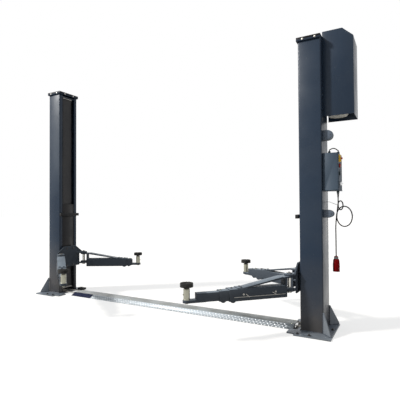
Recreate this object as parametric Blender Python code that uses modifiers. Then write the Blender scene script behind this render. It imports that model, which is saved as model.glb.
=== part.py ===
# Two post screw lift: fixed posts, two carriages that rise together, and four telescopic swing arms.
# Metres, +Z up. X runs from the plain post to the power post, and Y from the front to the back.
# The sizes below are laid out from the floor half way between the posts. The finished lift is then moved so
# that the origin is on the floor under the power post's screw.
import math

import bpy
import bmesh
from mathutils import Matrix, Vector
from mathutils.geometry import convex_hull_2d

# Driving sizes of the posts
POST_FACE = 1.562
POST_WIDTH = 0.203
POST_DEPTH = 0.289
POST_WALL = 0.008
POST_BEND = 0.012
POST_INNER_BEND = 0.004
SLOT_HALF = 0.100
OVERALL_HEIGHT = 2.660
LID_SHEET = 0.004
LID_SKIRT = 0.034
LID_OVERHANG = 0.012
BEARING_PLATE = 0.012
BEARING_DROP = 0.050
WELD_SINK = 0.004
CUT_PAST = 0.050

# Clearances
SEAT = 0.0003
PIN_CLEARANCE = 0.0005
SLIDE_CLEARANCE = 0.002
RUN_CLEARANCE = 0.006

# Base plates
BASE_THICK = 0.012
BASE_INNER = 0.030
BASE_OUTER = 0.082
BASE_FRONT = 0.280
BASE_BACK = 0.220
EAR_REACH = 0.100
EAR_FRONT = 0.240
EAR_BACK = 0.200
ANCHOR_RADIUS = 0.010
ANCHOR_EDGE = 0.030
GUSSET_HEIGHT = 0.195
GUSSET_FOOT = 0.105
GUSSET_NOSE = 0.015
GUSSET_TIP = 0.010
GUSSET_THICK = 0.010

# Lift screws, sprockets and chain
SCREW_RADIUS = 0.0225
SCREW_JOURNAL = 0.018
SCREW_STUB = 0.012
SCREW_PLAY = 0.002
SPROCKET_TIP = 0.0475
SPROCKET_ROOT = 0.0425
SPROCKET_TEETH = 16
SPROCKET_THICK = 0.007
CHAIN_WIDTH = 0.015
CHAIN_DEPTH = 0.011
CHAIN_LIFT = 0.002
CHAIN_SEGMENTS = 10

# Floor cover
COVER_SHEET = 0.003
COVER_HEIGHT = 0.034
COVER_TOP_HALF = 0.068
COVER_FOOT_HALF = 0.130
COVER_LEFT_GAP = 0.202
COVER_RIGHT_GAP = 0.072

# Slot curtains
CURTAIN_SHEET = 0.0025
CURTAIN_HALF = 0.075
CURTAIN_RECESS = 0.020
CURTAIN_BOTTOM = 0.060

# Carriages, at the height that they stand at
CARRIAGE_BOTTOM = 0.345
CARRIAGE_TOP = 1.170
CARRIAGE_SHEET = 0.012
CARRIAGE_HALF = 0.094
CARRIAGE_RECESS = 0.002
CARRIAGE_REACH = 0.150
SHOE_HEIGHT = 0.120
SHOE_DEPTH = 0.070
SHOE_HALF = 0.130
NUT_HEIGHT = 0.090
NUT_HALF = 0.045

# Yokes and arm pins
YOKE_GAP = 0.021
YOKE_PLATE = 0.014
YOKE_HALF = 0.163
YOKE_BOTTOM = 0.345
YOKE_CREST = 0.612
YOKE_CREST_HALF = 0.100
YOKE_WEB_HALF = 0.210
YOKE_NECK_HALF = 0.085
LUG_THICK = 0.018
LUG_UPPER = 0.5055
LUG_LOWER = 0.3675
LUG_RADIUS = 0.045
LUG_ROOT_INNER = 0.100
LUG_ROOT_OUTER = 0.150
PIN_REACH = 0.082
PIN_OFFSET = 0.195
PIN_RADIUS = 0.016
PIN_HEAD = 0.008
PIN_HEAD_RADIUS = 0.024
PIN_TAIL = 0.006
NECK_INSET = 0.010

# Bump bars
BUMP_HEIGHT = 0.036
BUMP_MIDDLE = 1.034
BUMP_HALF = 0.150
BUMP_THICK = 0.030

# Arms: widths, heights and walls of the three stages
ARM_BOTTOM = 0.325
ARM_HEIGHT = 0.105
ARM_WIDTH = 0.100
ARM_WALL = 0.006
ARM_ROOT = 0.050
ARM_LENGTH = 0.595
STAGE_INSET = 0.030
MIDDLE_REACH = 0.060
INNER_REACH = 0.010
EYE_THICK = 0.014
EYE_RADIUS = 0.040
EYE_INSET = 0.004
EYE_CLEARANCE = 0.001
WEB_THICK = 0.012
STRAP_THICK = 0.012
STRAP_LEVEL = 0.100
STRAP_BACK = 0.145
STRAP_TAIL_BACK = 0.075
STRAP_SINK = 0.002
BOSS_RADIUS = 0.030
BOSS_DROP = 0.0105
BOSS_BACK = 0.031

# Pads
PAD_OFFSET = 0.080
PAD_BAR_THICK = 0.024
PAD_BAR_HALF = 0.034
PAD_BAR_ROOT = 0.080
BARREL_RADIUS = 0.027
BARREL_TOP = 0.459
BARREL_SHOULDER = 0.012
BARREL_FLOOR = 0.004
SPINDLE_RADIUS = 0.014
SPINDLE_SINK = 0.075
PAD_RADIUS = 0.056
PAD_THICK = 0.036
PAD_TOP = 0.502
PAD_EDGE = 0.008

# Where each arm stands: side of the lift, front or back, swing in degrees, run-out of the two stages
ARMS = {
    "front_left": (-1, -1, 39.3, 0.160, 0.186),
    "front_right": (1, -1, 46.1, 0.025, 0.187),
    "rear_left": (-1, 1, 29.7, 0.0, 0.0),
    "rear_right": (1, 1, 28.0, 0.022, 0.061),
}

# Motor and its cover
COVER_BOX_FRONT = 0.074
COVER_BOX_BACK = 0.200
COVER_BOX_OUT = 0.263
COVER_BOX_RISE = 0.040
COVER_BOX_HEIGHT = 0.768
COVER_BOX_CHAMFER_X = 0.092
COVER_BOX_CHAMFER_Z = 0.084
COVER_BOX_SHEET = 0.003
MOTOR_X = 0.110
MOTOR_Y = 0.060
MOTOR_RADIUS = 0.085
MOTOR_RISE = 0.018
MOTOR_LENGTH = 0.335
MOTOR_BAND = 0.004
MOTOR_BAND_LOW = 0.012
MOTOR_BAND_HIGH = 0.070
MOTOR_FLANGE = 0.016
MOTOR_FLANGE_HALF = 0.095
MOTOR_FLANGE_FRONT = 0.030

# Control box and what is on it
BOX_OUT = 0.130
BOX_FRONT = 0.120
BOX_BACK = 0.097
BOX_DROP = 0.335
BOX_HEIGHT = 0.333
BOX_EDGE = 0.004
BOX_LIP = 0.008
BOX_LIP_REACH = 0.004
BOX_LIP_INSET = 0.030
PANEL_Y = -0.040
SWITCH_DROP = 0.046
SWITCH_PLATE_SIDE = 0.067
SWITCH_PLATE = 0.003
KNOB_RADIUS = 0.019
KNOB_DEPTH = 0.024
KNOB_GRIP = 0.013
BUTTON_RADIUS = 0.013
BUTTON_OUT = 0.012
BUTTON_IN = 0.008
BUTTON_BORE = 0.016
RED_BUTTON_DROP = 0.110
DARK_BUTTON_DROP = 0.179
LOCK_DROP = 0.269
LOCK_RADIUS = 0.013
LOCK_OUT = 0.018
LOCK_SINK = 0.010

# Limit switch housings
LIMIT_FRONT = 0.100
LIMIT_BACK = 0.035
LIMIT_OUT = 0.086
LIMIT_NOSE = 0.046
LIMIT_UPPER_DROP = 0.172
LIMIT_UPPER_HALF = 0.044
LIMIT_LOWER_DROP = 0.204
LIMIT_LOWER_HALF = 0.034
LIMIT_NOSE_STEPS = 10

# Cables and plug
CORD_RADIUS = 0.005
CORD_INSET = 0.019
CORD_EXIT_Y = 0.0
CORD_GLAND_RADIUS = 0.011
CORD_GLAND_LENGTH = 0.022
LOOP_DROP = 0.107
LOOP_RADIUS = 0.039
LOOP_TURN = 50.0
LOOP_PITCH = 0.016
RING_DROP = 0.205
RING_HALF_WIDTH = 0.065
RING_HALF_HEIGHT = 0.089
RING_LEFT = 0.009
RING_Y = -0.024
RING_PITCH = 0.017
PLUG_DROP = 0.557
PLUG_LEFT = 0.016
PLUG_Y = -0.040
CABLE_RADIUS = 0.0045
CABLE_GLAND_RADIUS = 0.010
CABLE_GLAND_LENGTH = 0.024
EDGE_GLAND_LENGTH = 0.020
CABLE_START = (0.047, -0.040)
CABLE_FINISH = (0.115, 0.010)
CABLE_STUB = 0.010
CABLE_CREST = 0.018
HOOK_RADIUS = 0.002
HOOK_Y = 0.120
HOOK_DROP = 0.074
HOOK_STUB = 0.014
PLUG_RADIUS = 0.029
PLUG_LENGTH = 0.136
PLUG_WALL = 0.004
PLUG_COLLAR = 0.026
PLUG_COLLAR_RADIUS = 0.017
PLUG_COLLAR_EDGE = 0.005
PLUG_SHOULDER = 0.004
PLUG_SHOULDER_RADIUS = 0.0245
PLUG_BORE = 0.046

POST_MIDDLE = POST_FACE + POST_WIDTH / 2
POST_OUTER = POST_FACE + POST_WIDTH
HALF_DEPTH = POST_DEPTH / 2
PIN_X = POST_FACE - PIN_REACH
LID_TOP = OVERALL_HEIGHT
POST_TOP = LID_TOP - LID_SHEET - SEAT
BASE_TOP = BASE_THICK + SEAT
BOX_FACE = POST_OUTER + BOX_OUT
MIDDLE_START = ARM_ROOT + STAGE_INSET
MIDDLE_END = ARM_LENGTH + MIDDLE_REACH
INNER_START = MIDDLE_START + STAGE_INSET
INNER_END = MIDDLE_END + INNER_REACH
COVER_BOX_TOP = OVERALL_HEIGHT + COVER_BOX_RISE
COVER_BOX_BOTTOM = COVER_BOX_TOP - COVER_BOX_HEIGHT
MOTOR_BOTTOM = COVER_BOX_BOTTOM + MOTOR_RISE
MOTOR_TOP = MOTOR_BOTTOM + MOTOR_LENGTH
LIMIT_UPPER_Z = COVER_BOX_BOTTOM - LIMIT_UPPER_DROP
BOX_TOP = COVER_BOX_BOTTOM - BOX_DROP
BOX_BOTTOM = BOX_TOP - BOX_HEIGHT
LIMIT_LOWER_Z = BOX_BOTTOM - LIMIT_LOWER_DROP
SWITCH_Z = BOX_TOP - SWITCH_DROP
RED_BUTTON_Z = BOX_TOP - RED_BUTTON_DROP
DARK_BUTTON_Z = BOX_TOP - DARK_BUTTON_DROP
LOCK_Z = BOX_TOP - LOCK_DROP
CORD_EXIT = Vector((BOX_FACE - CORD_INSET, CORD_EXIT_Y, BOX_BOTTOM - CORD_GLAND_LENGTH - SEAT))


def clear_scene():
    for obj in list(bpy.data.objects):
        bpy.data.objects.remove(obj, do_unlink=True)
    for group in list(bpy.data.collections):
        bpy.data.collections.remove(group)


clear_scene()
PARTS = bpy.data.collections.new("two_post_lift")
CUTTERS = bpy.data.collections.new("cutters")
bpy.context.scene.collection.children.link(PARTS)
bpy.context.scene.collection.children.link(CUTTERS)


def material(name, colour, roughness, metallic=0.0):
    mat = bpy.data.materials.new(name)
    mat.use_nodes = True
    shader = mat.node_tree.nodes["Principled BSDF"]
    shader.inputs["Base Color"].default_value = (*colour, 1.0)
    shader.inputs["Roughness"].default_value = roughness
    shader.inputs["Metallic"].default_value = metallic
    return mat


PAINT = material("grey_blue_paint", (0.055, 0.070, 0.095), 0.35)
DARK_PAINT = material("dark_paint", (0.030, 0.034, 0.042), 0.45)
COVER_STEEL = material("galvanised_cover", (0.52, 0.54, 0.54), 0.45, 0.7)
BRIGHT_STEEL = material("bright_steel", (0.55, 0.54, 0.50), 0.30, 1.0)
ZINC = material("yellow_zinc", (0.50, 0.48, 0.38), 0.40, 0.9)
RUBBER = material("black_rubber", (0.018, 0.018, 0.018), 0.80)
CURTAIN_BLACK = material("curtain_black", (0.020, 0.021, 0.024), 0.70)
MOTOR_GREY = material("motor_grey", (0.36, 0.35, 0.31), 0.50)
YELLOW = material("switch_yellow", (0.75, 0.45, 0.04), 0.45)
RED = material("switch_red", (0.50, 0.03, 0.02), 0.40)
DARK_GREEN = material("button_green", (0.02, 0.06, 0.05), 0.45)
CABLE_BLACK = material("cable_black", (0.025, 0.025, 0.027), 0.60)


def mesh_object(name, mesh, mat=None, parent=None, cutter=False):
    obj = bpy.data.objects.new(name, mesh)
    (CUTTERS if cutter else PARTS).objects.link(obj)
    if mat:
        mesh.materials.append(mat)
    if cutter:
        obj.hide_render = True
        obj.display_type = "WIRE"
    if parent:
        obj.parent = parent
    return obj


def tidy_mesh(mesh):
    work = bmesh.new()
    work.from_mesh(mesh)
    bmesh.ops.remove_doubles(work, verts=work.verts, dist=0.00001)
    bmesh.ops.recalc_face_normals(work, faces=work.faces)
    work.to_mesh(mesh)
    work.free()


def shade_round(mesh):
    mesh.shade_smooth()
    mesh.set_sharp_from_angle(angle=math.radians(35))
    return mesh


def block(name, low, high, mat=None, parent=None, cutter=False):
    low, high = Vector(low), Vector(high)
    size = high - low
    work = bmesh.new()
    bmesh.ops.create_cube(work, size=1.0)
    bmesh.ops.scale(work, vec=size, verts=work.verts)
    mesh = bpy.data.meshes.new(name)
    work.to_mesh(mesh)
    work.free()
    obj = mesh_object(name, mesh, mat, parent, cutter)
    obj.location = (low + high) / 2
    return obj


AXIS_TURN = {
    "Z": Matrix.Identity(4),
    "X": Matrix(((0, 0, 1, 0), (1, 0, 0, 0), (0, 1, 0, 0), (0, 0, 0, 1))),
    "Y": Matrix(((1, 0, 0, 0), (0, 0, -1, 0), (0, 1, 0, 0), (0, 0, 0, 1))),
}


def prism(name, outline, low, high, axis="Z", mat=None, parent=None, cutter=False, holes=()):
    # The outline is (x, y) for Z, (y, z) for X and (x, z) for Y.
    curve = bpy.data.curves.new(name, "CURVE")
    curve.dimensions = "2D"
    curve.fill_mode = "BOTH"
    curve.extrude = (high - low) / 2
    for loop in (outline, *holes):
        spline = curve.splines.new("POLY")
        spline.points.add(len(loop) - 1)
        for point, (u, v) in zip(spline.points, loop):
            point.co = (u, v, 0.0, 1.0)
        spline.use_cyclic_u = True
    middle = (low + high) / 2
    shift = Matrix.Translation((0, 0, -middle if axis == "Y" else middle))
    mesh = curve_mesh(name, curve)
    mesh.transform(AXIS_TURN[axis] @ shift)
    tidy_mesh(mesh)
    return mesh_object(name, mesh, mat, parent, cutter)


def curve_mesh(name, curve):
    shape = bpy.data.objects.new(name + "_curve", curve)
    bpy.context.scene.collection.objects.link(shape)
    bpy.context.view_layer.update()
    graph = bpy.context.evaluated_depsgraph_get()
    mesh = bpy.data.meshes.new_from_object(shape.evaluated_get(graph))
    mesh.materials.clear()
    mesh.name = name
    bpy.data.objects.remove(shape, do_unlink=True)
    bpy.data.curves.remove(curve)
    tidy_mesh(mesh)
    return mesh


def rod(name, radius, low, high, place=(0, 0), axis="Z", sides=24, mat=None, parent=None, cutter=False):
    # The place is the two coordinates across the axis: (x, y), (y, z) or (x, z).
    work = bmesh.new()
    bmesh.ops.create_cone(work, cap_ends=True, segments=sides, radius1=radius, radius2=radius,
                          depth=high - low)
    mesh = bpy.data.meshes.new(name)
    work.to_mesh(mesh)
    work.free()
    obj = mesh_object(name, shade_round(mesh), mat, parent, cutter)
    middle = (low + high) / 2
    if axis == "Z":
        obj.location = (place[0], place[1], middle)
    elif axis == "X":
        obj.location = (middle, place[0], place[1])
        obj.rotation_euler = (0, math.pi / 2, 0)
    else:
        obj.location = (place[0], middle, place[1])
        obj.rotation_euler = (math.pi / 2, 0, 0)
    return obj


def turned(name, profile, steps, mat=None, parent=None, cutter=False):
    # The profile is (radius, height) down the outer side, from the axis at the top to the axis below.
    mesh = bpy.data.meshes.new(name)
    edges = [(i, i + 1) for i in range(len(profile) - 1)]
    mesh.from_pydata([(radius, 0.0, height) for radius, height in profile], edges, [])
    obj = mesh_object(name, mesh, mat, parent, cutter)
    screw = obj.modifiers.new("turn", "SCREW")
    screw.steps = steps
    screw.render_steps = steps
    screw.use_merge_vertices = True
    screw.merge_threshold = 0.00001
    screw.use_smooth_shade = True
    return obj


def carve(target, *cutters):
    for cutter in cutters:
        step = target.modifiers.new("carve", "BOOLEAN")
        step.operation = "DIFFERENCE"
        step.object = cutter


def fuse(target, *pieces):
    for piece in pieces:
        step = target.modifiers.new("fuse", "BOOLEAN")
        step.operation = "UNION"
        step.object = piece


def bevel(obj, width, segments=1, angle=40):
    step = obj.modifiers.new("edges", "BEVEL")
    step.width = width
    step.segments = segments
    step.limit_method = "ANGLE"
    step.angle_limit = math.radians(angle)


def filleted(corners, steps=3):
    # Corners are (u, v, radius); each is rounded by an arc of that radius.
    points = []
    count = len(corners)
    for i, (u, v, radius) in enumerate(corners):
        here = Vector((u, v))
        if radius <= 0:
            points.append((u, v))
            continue
        before = Vector(corners[i - 1][:2]) - here
        after = Vector(corners[(i + 1) % count][:2]) - here
        before.normalize()
        after.normalize()
        half = before.angle(after) / 2
        centre = here + (before + after).normalized() * (radius / math.sin(half))
        start = here + before * (radius / math.tan(half)) - centre
        end = here + after * (radius / math.tan(half)) - centre
        turn = start.angle_signed(end)
        for k in range(steps + 1):
            spot = start.copy()
            spot.rotate(Matrix.Rotation(-turn * k / steps, 2))
            points.append((centre.x + spot.x, centre.y + spot.y))
    return points


def arc(centre, radius, start, end, steps):
    # Points on an arc, angles in degrees.
    points = []
    for k in range(steps + 1):
        angle = math.radians(start + (end - start) * k / steps)
        points.append((centre[0] + radius * math.cos(angle), centre[1] + radius * math.sin(angle)))
    return points


def circle(centre, radius, steps=12):
    return arc(centre, radius, 0, 360, steps)[:-1]


def mirrored(points, side):
    return [(side * x, y) for x, y in points]


SIDES = {"left": -1, "right": 1}


def base_plate(name, side):
    inner = POST_FACE - BASE_INNER
    ear = POST_FACE - EAR_REACH
    outer = POST_OUTER + BASE_OUTER
    ear_side = COVER_FOOT_HALF + SEAT
    outline = [
        (inner, -BASE_FRONT), (outer, -BASE_FRONT), (outer, BASE_BACK), (inner, BASE_BACK),
        (inner, EAR_BACK), (ear, EAR_BACK), (ear, ear_side), (inner, ear_side),
        (inner, -ear_side), (ear, -ear_side), (ear, -EAR_FRONT), (inner, -EAR_FRONT),
    ]
    spots = [
        (POST_MIDDLE, -BASE_FRONT + ANCHOR_EDGE),
        (POST_MIDDLE, BASE_BACK - ANCHOR_EDGE),
        (inner + ANCHOR_EDGE, -BASE_FRONT + ANCHOR_EDGE),
        (inner + ANCHOR_EDGE, BASE_BACK - ANCHOR_EDGE),
        (outer - ANCHOR_EDGE, 0.0),
    ]
    plate = prism(name, mirrored(outline, side), 0.0, BASE_THICK, mat=PAINT)
    for end in (-1, 1):
        bend = Vector((side * (POST_OUTER - POST_BEND), end * (HALF_DEPTH - POST_BEND), 0))
        start = POST_BEND + SEAT + GUSSET_THICK / 8
        shape = [
            (start, BASE_THICK - WELD_SINK), (start + GUSSET_FOOT, BASE_THICK - WELD_SINK),
            (start + GUSSET_FOOT, BASE_THICK + GUSSET_NOSE), (start + GUSSET_TIP, GUSSET_HEIGHT),
            (start, GUSSET_HEIGHT),
        ]
        label = name + ("_front_gusset" if end < 0 else "_rear_gusset")
        gusset = prism(label, shape, -GUSSET_THICK / 2, GUSSET_THICK / 2, axis="Y", cutter=True)
        gusset.location = bend
        gusset.rotation_euler = (0, 0, math.atan2(end, side))
        fuse(plate, gusset)
    for x, y in spots:
        hole = rod(name + "_anchor_hole", ANCHOR_RADIUS, -CUT_PAST, BASE_THICK + CUT_PAST, (side * x, y),
                   sides=12, cutter=True)
        carve(plate, hole)
    return plate


def post(name, side):
    w, d, t = POST_WIDTH / 2, HALF_DEPTH, POST_WALL
    corners = [
        (-w, -SLOT_HALF, 0), (-w, -d, POST_BEND), (w, -d, POST_BEND), (w, d, POST_BEND),
        (-w, d, POST_BEND), (-w, SLOT_HALF, 0), (-w + t, SLOT_HALF, 0),
        (-w + t, d - t, POST_INNER_BEND), (w - t, d - t, POST_INNER_BEND),
        (w - t, -d + t, POST_INNER_BEND), (-w + t, -d + t, POST_INNER_BEND), (-w + t, -SLOT_HALF, 0),
    ]
    body = prism(name, mirrored(filleted(corners), side), BASE_TOP, POST_TOP, mat=PAINT)
    body.location.x = side * POST_MIDDLE
    plate_top = OVERALL_HEIGHT - BEARING_DROP
    overlap = t / 2
    bearing = block(
        name + "_bearing_plate",
        (side * POST_MIDDLE - w + overlap, -d + overlap, plate_top - BEARING_PLATE),
        (side * POST_MIDDLE + w - overlap, d - overlap, plate_top),
        cutter=True,
    )
    hole = rod(
        name + "_bearing_hole", SCREW_JOURNAL + PIN_CLEARANCE, plate_top - CUT_PAST, plate_top + CUT_PAST,
        (side * POST_MIDDLE, 0), cutter=True,
    )
    fuse(body, bearing)
    carve(body, hole)
    return body


def lid(name, side, flush):
    inner = POST_FACE - LID_OVERHANG
    outer = POST_OUTER if flush else POST_OUTER + LID_OVERHANG
    depth = HALF_DEPTH + LID_OVERHANG
    cap = prism(
        name, mirrored([(inner, -depth), (outer, -depth), (outer, depth), (inner, depth)], side),
        LID_TOP - LID_SKIRT, LID_TOP, mat=DARK_PAINT,
    )
    reach = outer + CUT_PAST if flush else outer - LID_SHEET
    hollow = prism(
        name + "_hollow",
        mirrored([
            (inner + LID_SHEET, -depth + LID_SHEET), (reach, -depth + LID_SHEET),
            (reach, depth - LID_SHEET), (inner + LID_SHEET, depth - LID_SHEET),
        ], side),
        LID_TOP - LID_SKIRT - CUT_PAST, LID_TOP - LID_SHEET, cutter=True,
    )
    carve(cap, hollow)
    return cap


def curtain(name, side):
    face = POST_FACE + CURTAIN_RECESS
    top = OVERALL_HEIGHT - BEARING_DROP - BEARING_PLATE - SEAT
    outline = [
        (face, -CURTAIN_HALF), (face + CURTAIN_SHEET, -CURTAIN_HALF),
        (face + CURTAIN_SHEET, CURTAIN_HALF), (face, CURTAIN_HALF),
    ]
    return prism(name, mirrored(outline, side), CURTAIN_BOTTOM, top, mat=CURTAIN_BLACK)


def lift_screw(name, side):
    plate_top = OVERALL_HEIGHT - BEARING_DROP
    step = plate_top - BEARING_PLATE - SCREW_PLAY
    foot = BASE_TOP
    middle = BASE_THICK + CHAIN_LIFT + CHAIN_WIDTH / 2
    screw = turned(name, [
        (0, plate_top + SCREW_STUB), (SCREW_JOURNAL, plate_top + SCREW_STUB), (SCREW_JOURNAL, step),
        (SCREW_RADIUS, step), (SCREW_RADIUS, foot), (0, foot),
    ], 24, BRIGHT_STEEL)
    screw.location = (side * POST_MIDDLE, 0, 0)
    outline = []
    for tooth in range(SPROCKET_TEETH):
        pitch = 360 / SPROCKET_TEETH
        for share, radius in ((-0.30, SPROCKET_ROOT), (-0.12, SPROCKET_TIP), (0.12, SPROCKET_TIP),
                              (0.30, SPROCKET_ROOT)):
            angle = math.radians((tooth + share) * pitch)
            outline.append((radius * math.cos(angle), radius * math.sin(angle)))
    wheel = prism(name + "_sprocket", outline, middle - SPROCKET_THICK / 2, middle + SPROCKET_THICK / 2,
                  cutter=True)
    wheel.location = screw.location
    fuse(screw, wheel)
    return screw


def drive_chain(name):
    inside = SPROCKET_TIP + SEAT
    outside = inside + CHAIN_DEPTH
    low = BASE_THICK + CHAIN_LIFT

    def track(radius):
        right = arc((POST_MIDDLE, 0), radius, -90, 90, CHAIN_SEGMENTS)
        left = arc((-POST_MIDDLE, 0), radius, 90, 270, CHAIN_SEGMENTS)
        return right + left

    # The inner side is pushed out to clear the tooth tips between the arc's points.
    inner_track = track(inside / math.cos(math.radians(90 / CHAIN_SEGMENTS)))
    return prism(name, track(outside), low, low + CHAIN_WIDTH, mat=BRIGHT_STEEL, holes=[inner_track])


def floor_cover(name):
    t = COVER_SHEET
    slope = math.atan2(COVER_HEIGHT, COVER_FOOT_HALF - COVER_TOP_HALF)
    inner_top = COVER_TOP_HALF - t * math.tan(slope / 2)
    inner_foot = COVER_FOOT_HALF - t / math.sin(slope)
    outline = [
        (-COVER_FOOT_HALF, 0), (-COVER_TOP_HALF, COVER_HEIGHT), (COVER_TOP_HALF, COVER_HEIGHT),
        (COVER_FOOT_HALF, 0), (inner_foot, 0), (inner_top, COVER_HEIGHT - t),
        (-inner_top, COVER_HEIGHT - t), (-inner_foot, 0),
    ]
    return prism(name, outline, COVER_LEFT_GAP - POST_FACE, POST_FACE - COVER_RIGHT_GAP, axis="X",
                 mat=COVER_STEEL)


def carriage(name, side, body):
    face = POST_FACE + CARRIAGE_RECESS
    back = face + CARRIAGE_REACH
    s, half = CARRIAGE_SHEET, CARRIAGE_HALF
    # A channel with its front in the slot, its cheeks beside the curtain and its back behind the screw
    walls = [(face, -half), (back, -half), (back, half), (face, half)]
    hollow = [(face + s, -half + s), (back - s, -half + s), (back - s, half - s), (face + s, half - s)]
    frame = prism(name, mirrored(walls, side), CARRIAGE_BOTTOM, CARRIAGE_TOP, mat=DARK_PAINT, parent=body,
                  holes=[mirrored(hollow, side)])
    nut_low = (CARRIAGE_BOTTOM + CARRIAGE_TOP) / 2 - NUT_HEIGHT / 2
    shoe_face = POST_FACE + POST_WALL + RUN_CLEARANCE
    for end in (-1, 1):
        for low in (CARRIAGE_BOTTOM, CARRIAGE_TOP - SHOE_HEIGHT):
            span = sorted((end * (half - s / 2), end * SHOE_HALF))
            shape = [(shoe_face, span[0]), (shoe_face + SHOE_DEPTH, span[0]),
                     (shoe_face + SHOE_DEPTH, span[1]), (shoe_face, span[1])]
            shoe = prism(name + "_shoe", mirrored(shape, side), low, low + SHOE_HEIGHT, parent=body,
                         cutter=True)
            fuse(frame, shoe)
    nut_front = POST_MIDDLE - NUT_HALF
    nut_shape = [(nut_front, -half + s / 2), (back - s / 2, -half + s / 2),
                 (back - s / 2, half - s / 2), (nut_front, half - s / 2)]
    nut = prism(name + "_nut", mirrored(nut_shape, side), nut_low, nut_low + NUT_HEIGHT, parent=body,
                cutter=True)
    bore = rod(name + "_nut_bore", SCREW_RADIUS + PIN_CLEARANCE, nut_low - CUT_PAST,
               nut_low + NUT_HEIGHT + CUT_PAST, (side * POST_MIDDLE, 0), parent=body, cutter=True)
    fuse(frame, nut)
    carve(frame, bore)
    return frame


def lug_outline(side, end):
    # A plate that leaves the yoke and rounds off round the pin
    root = POST_FACE - YOKE_GAP - YOKE_PLATE / 2
    points = circle((PIN_X, end * PIN_OFFSET), LUG_RADIUS, 20)
    points += [(root, end * LUG_ROOT_INNER), (root, end * LUG_ROOT_OUTER)]
    order = convex_hull_2d([Vector(point) for point in points])
    return mirrored([points[i] for i in order], side)


def yoke(name, side, body):
    face = POST_FACE - YOKE_GAP
    plate_shape = [
        (-YOKE_HALF, YOKE_BOTTOM), (YOKE_HALF, YOKE_BOTTOM), (YOKE_HALF, LUG_UPPER + LUG_THICK / 4),
        (YOKE_WEB_HALF, LUG_UPPER + LUG_THICK / 2), (YOKE_WEB_HALF, LUG_UPPER + LUG_THICK + WELD_SINK),
        (YOKE_CREST_HALF, YOKE_CREST), (-YOKE_CREST_HALF, YOKE_CREST),
        (-YOKE_WEB_HALF, LUG_UPPER + LUG_THICK + WELD_SINK), (-YOKE_WEB_HALF, LUG_UPPER + LUG_THICK / 2),
        (-YOKE_HALF, LUG_UPPER + LUG_THICK / 4),
    ]
    span = sorted((side * (face - YOKE_PLATE), side * face))
    plate = prism(name, plate_shape, span[0], span[1], axis="X", mat=PAINT, parent=body)
    neck_span = sorted((side * (face - YOKE_PLATE / 2), side * (POST_FACE + CARRIAGE_RECESS - SEAT)))
    neck = block(name + "_neck", (neck_span[0], -YOKE_NECK_HALF, YOKE_BOTTOM + NECK_INSET),
                 (neck_span[1], YOKE_NECK_HALF, YOKE_CREST - NECK_INSET), parent=body, cutter=True)
    fuse(plate, neck)
    for end in (-1, 1):
        for level in (LUG_LOWER, LUG_UPPER):
            lug = prism(name + "_lug", lug_outline(side, end), level, level + LUG_THICK, parent=body,
                        cutter=True)
            fuse(plate, lug)
        shank = rod(name + "_pin", PIN_RADIUS, LUG_LOWER - PIN_TAIL, LUG_UPPER + LUG_THICK + PIN_HEAD / 2,
                    (side * PIN_X, end * PIN_OFFSET), parent=body, cutter=True)
        head = rod(name + "_pin_head", PIN_HEAD_RADIUS, LUG_UPPER + LUG_THICK - PIN_HEAD / 2,
                   LUG_UPPER + LUG_THICK + PIN_HEAD, (side * PIN_X, end * PIN_OFFSET), parent=body,
                   cutter=True)
        fuse(plate, shank, head)
    return plate


def bump_bar(name, side, body):
    back = POST_FACE - RUN_CLEARANCE
    span = sorted((side * (back - BUMP_THICK), side * back))
    low, high = BUMP_MIDDLE - BUMP_HEIGHT / 2, BUMP_MIDDLE + BUMP_HEIGHT / 2
    bar = block(name, (span[0], -BUMP_HALF, low), (span[1], BUMP_HALF, high), RUBBER, body)
    neck_span = sorted((side * (back - BUMP_THICK / 2), side * (POST_FACE + CARRIAGE_RECESS - SEAT)))
    neck = block(name + "_neck", (neck_span[0], -YOKE_NECK_HALF, low + WELD_SINK),
                 (neck_span[1], YOKE_NECK_HALF, high - WELD_SINK), parent=body, cutter=True)
    fuse(bar, neck)
    return bar


def stage_half(stage):
    # Half the width of a stage: each runs inside the one before it
    return ARM_WIDTH / 2 - stage * (ARM_WALL + SLIDE_CLEARANCE)


def stage_low(stage):
    return ARM_BOTTOM + stage * (ARM_WALL + SEAT)


def stage_high(stage):
    return ARM_BOTTOM + ARM_HEIGHT - stage * (ARM_WALL + SLIDE_CLEARANCE)


def stage_box(name, stage, start, end, pivot):
    half, low, high = stage_half(stage), stage_low(stage), stage_high(stage)
    outline = filleted([(-half, low, ARM_WALL), (half, low, ARM_WALL), (half, high, ARM_WALL),
                        (-half, high, ARM_WALL)], 2)
    return prism(name, outline, start, end, axis="X", mat=PAINT, parent=pivot)


def stage_hollow(name, stage, start, end, pivot):
    half, low, high = stage_half(stage), stage_low(stage), stage_high(stage)
    return block(name, (start, -half + ARM_WALL, low + ARM_WALL), (end, half - ARM_WALL, high - ARM_WALL),
                 parent=pivot, cutter=True)


def stage_boss(name, stage, end, pivot):
    middle = (end - BOSS_BACK, stage_low(stage) - BOSS_DROP + BOSS_RADIUS)
    return rod(name, BOSS_RADIUS, -stage_half(stage), stage_half(stage), middle, axis="Y", sides=20,
               parent=pivot, cutter=True)


def eye_outline(length, half):
    # A tongue that rounds the pin, with its axis at the origin
    back = arc((0, 0), EYE_RADIUS, 90, 270, 8)
    root = ARM_ROOT - EYE_INSET
    return [(length, half), (root, half)] + back + [(root, -half), (length, -half)]


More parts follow.
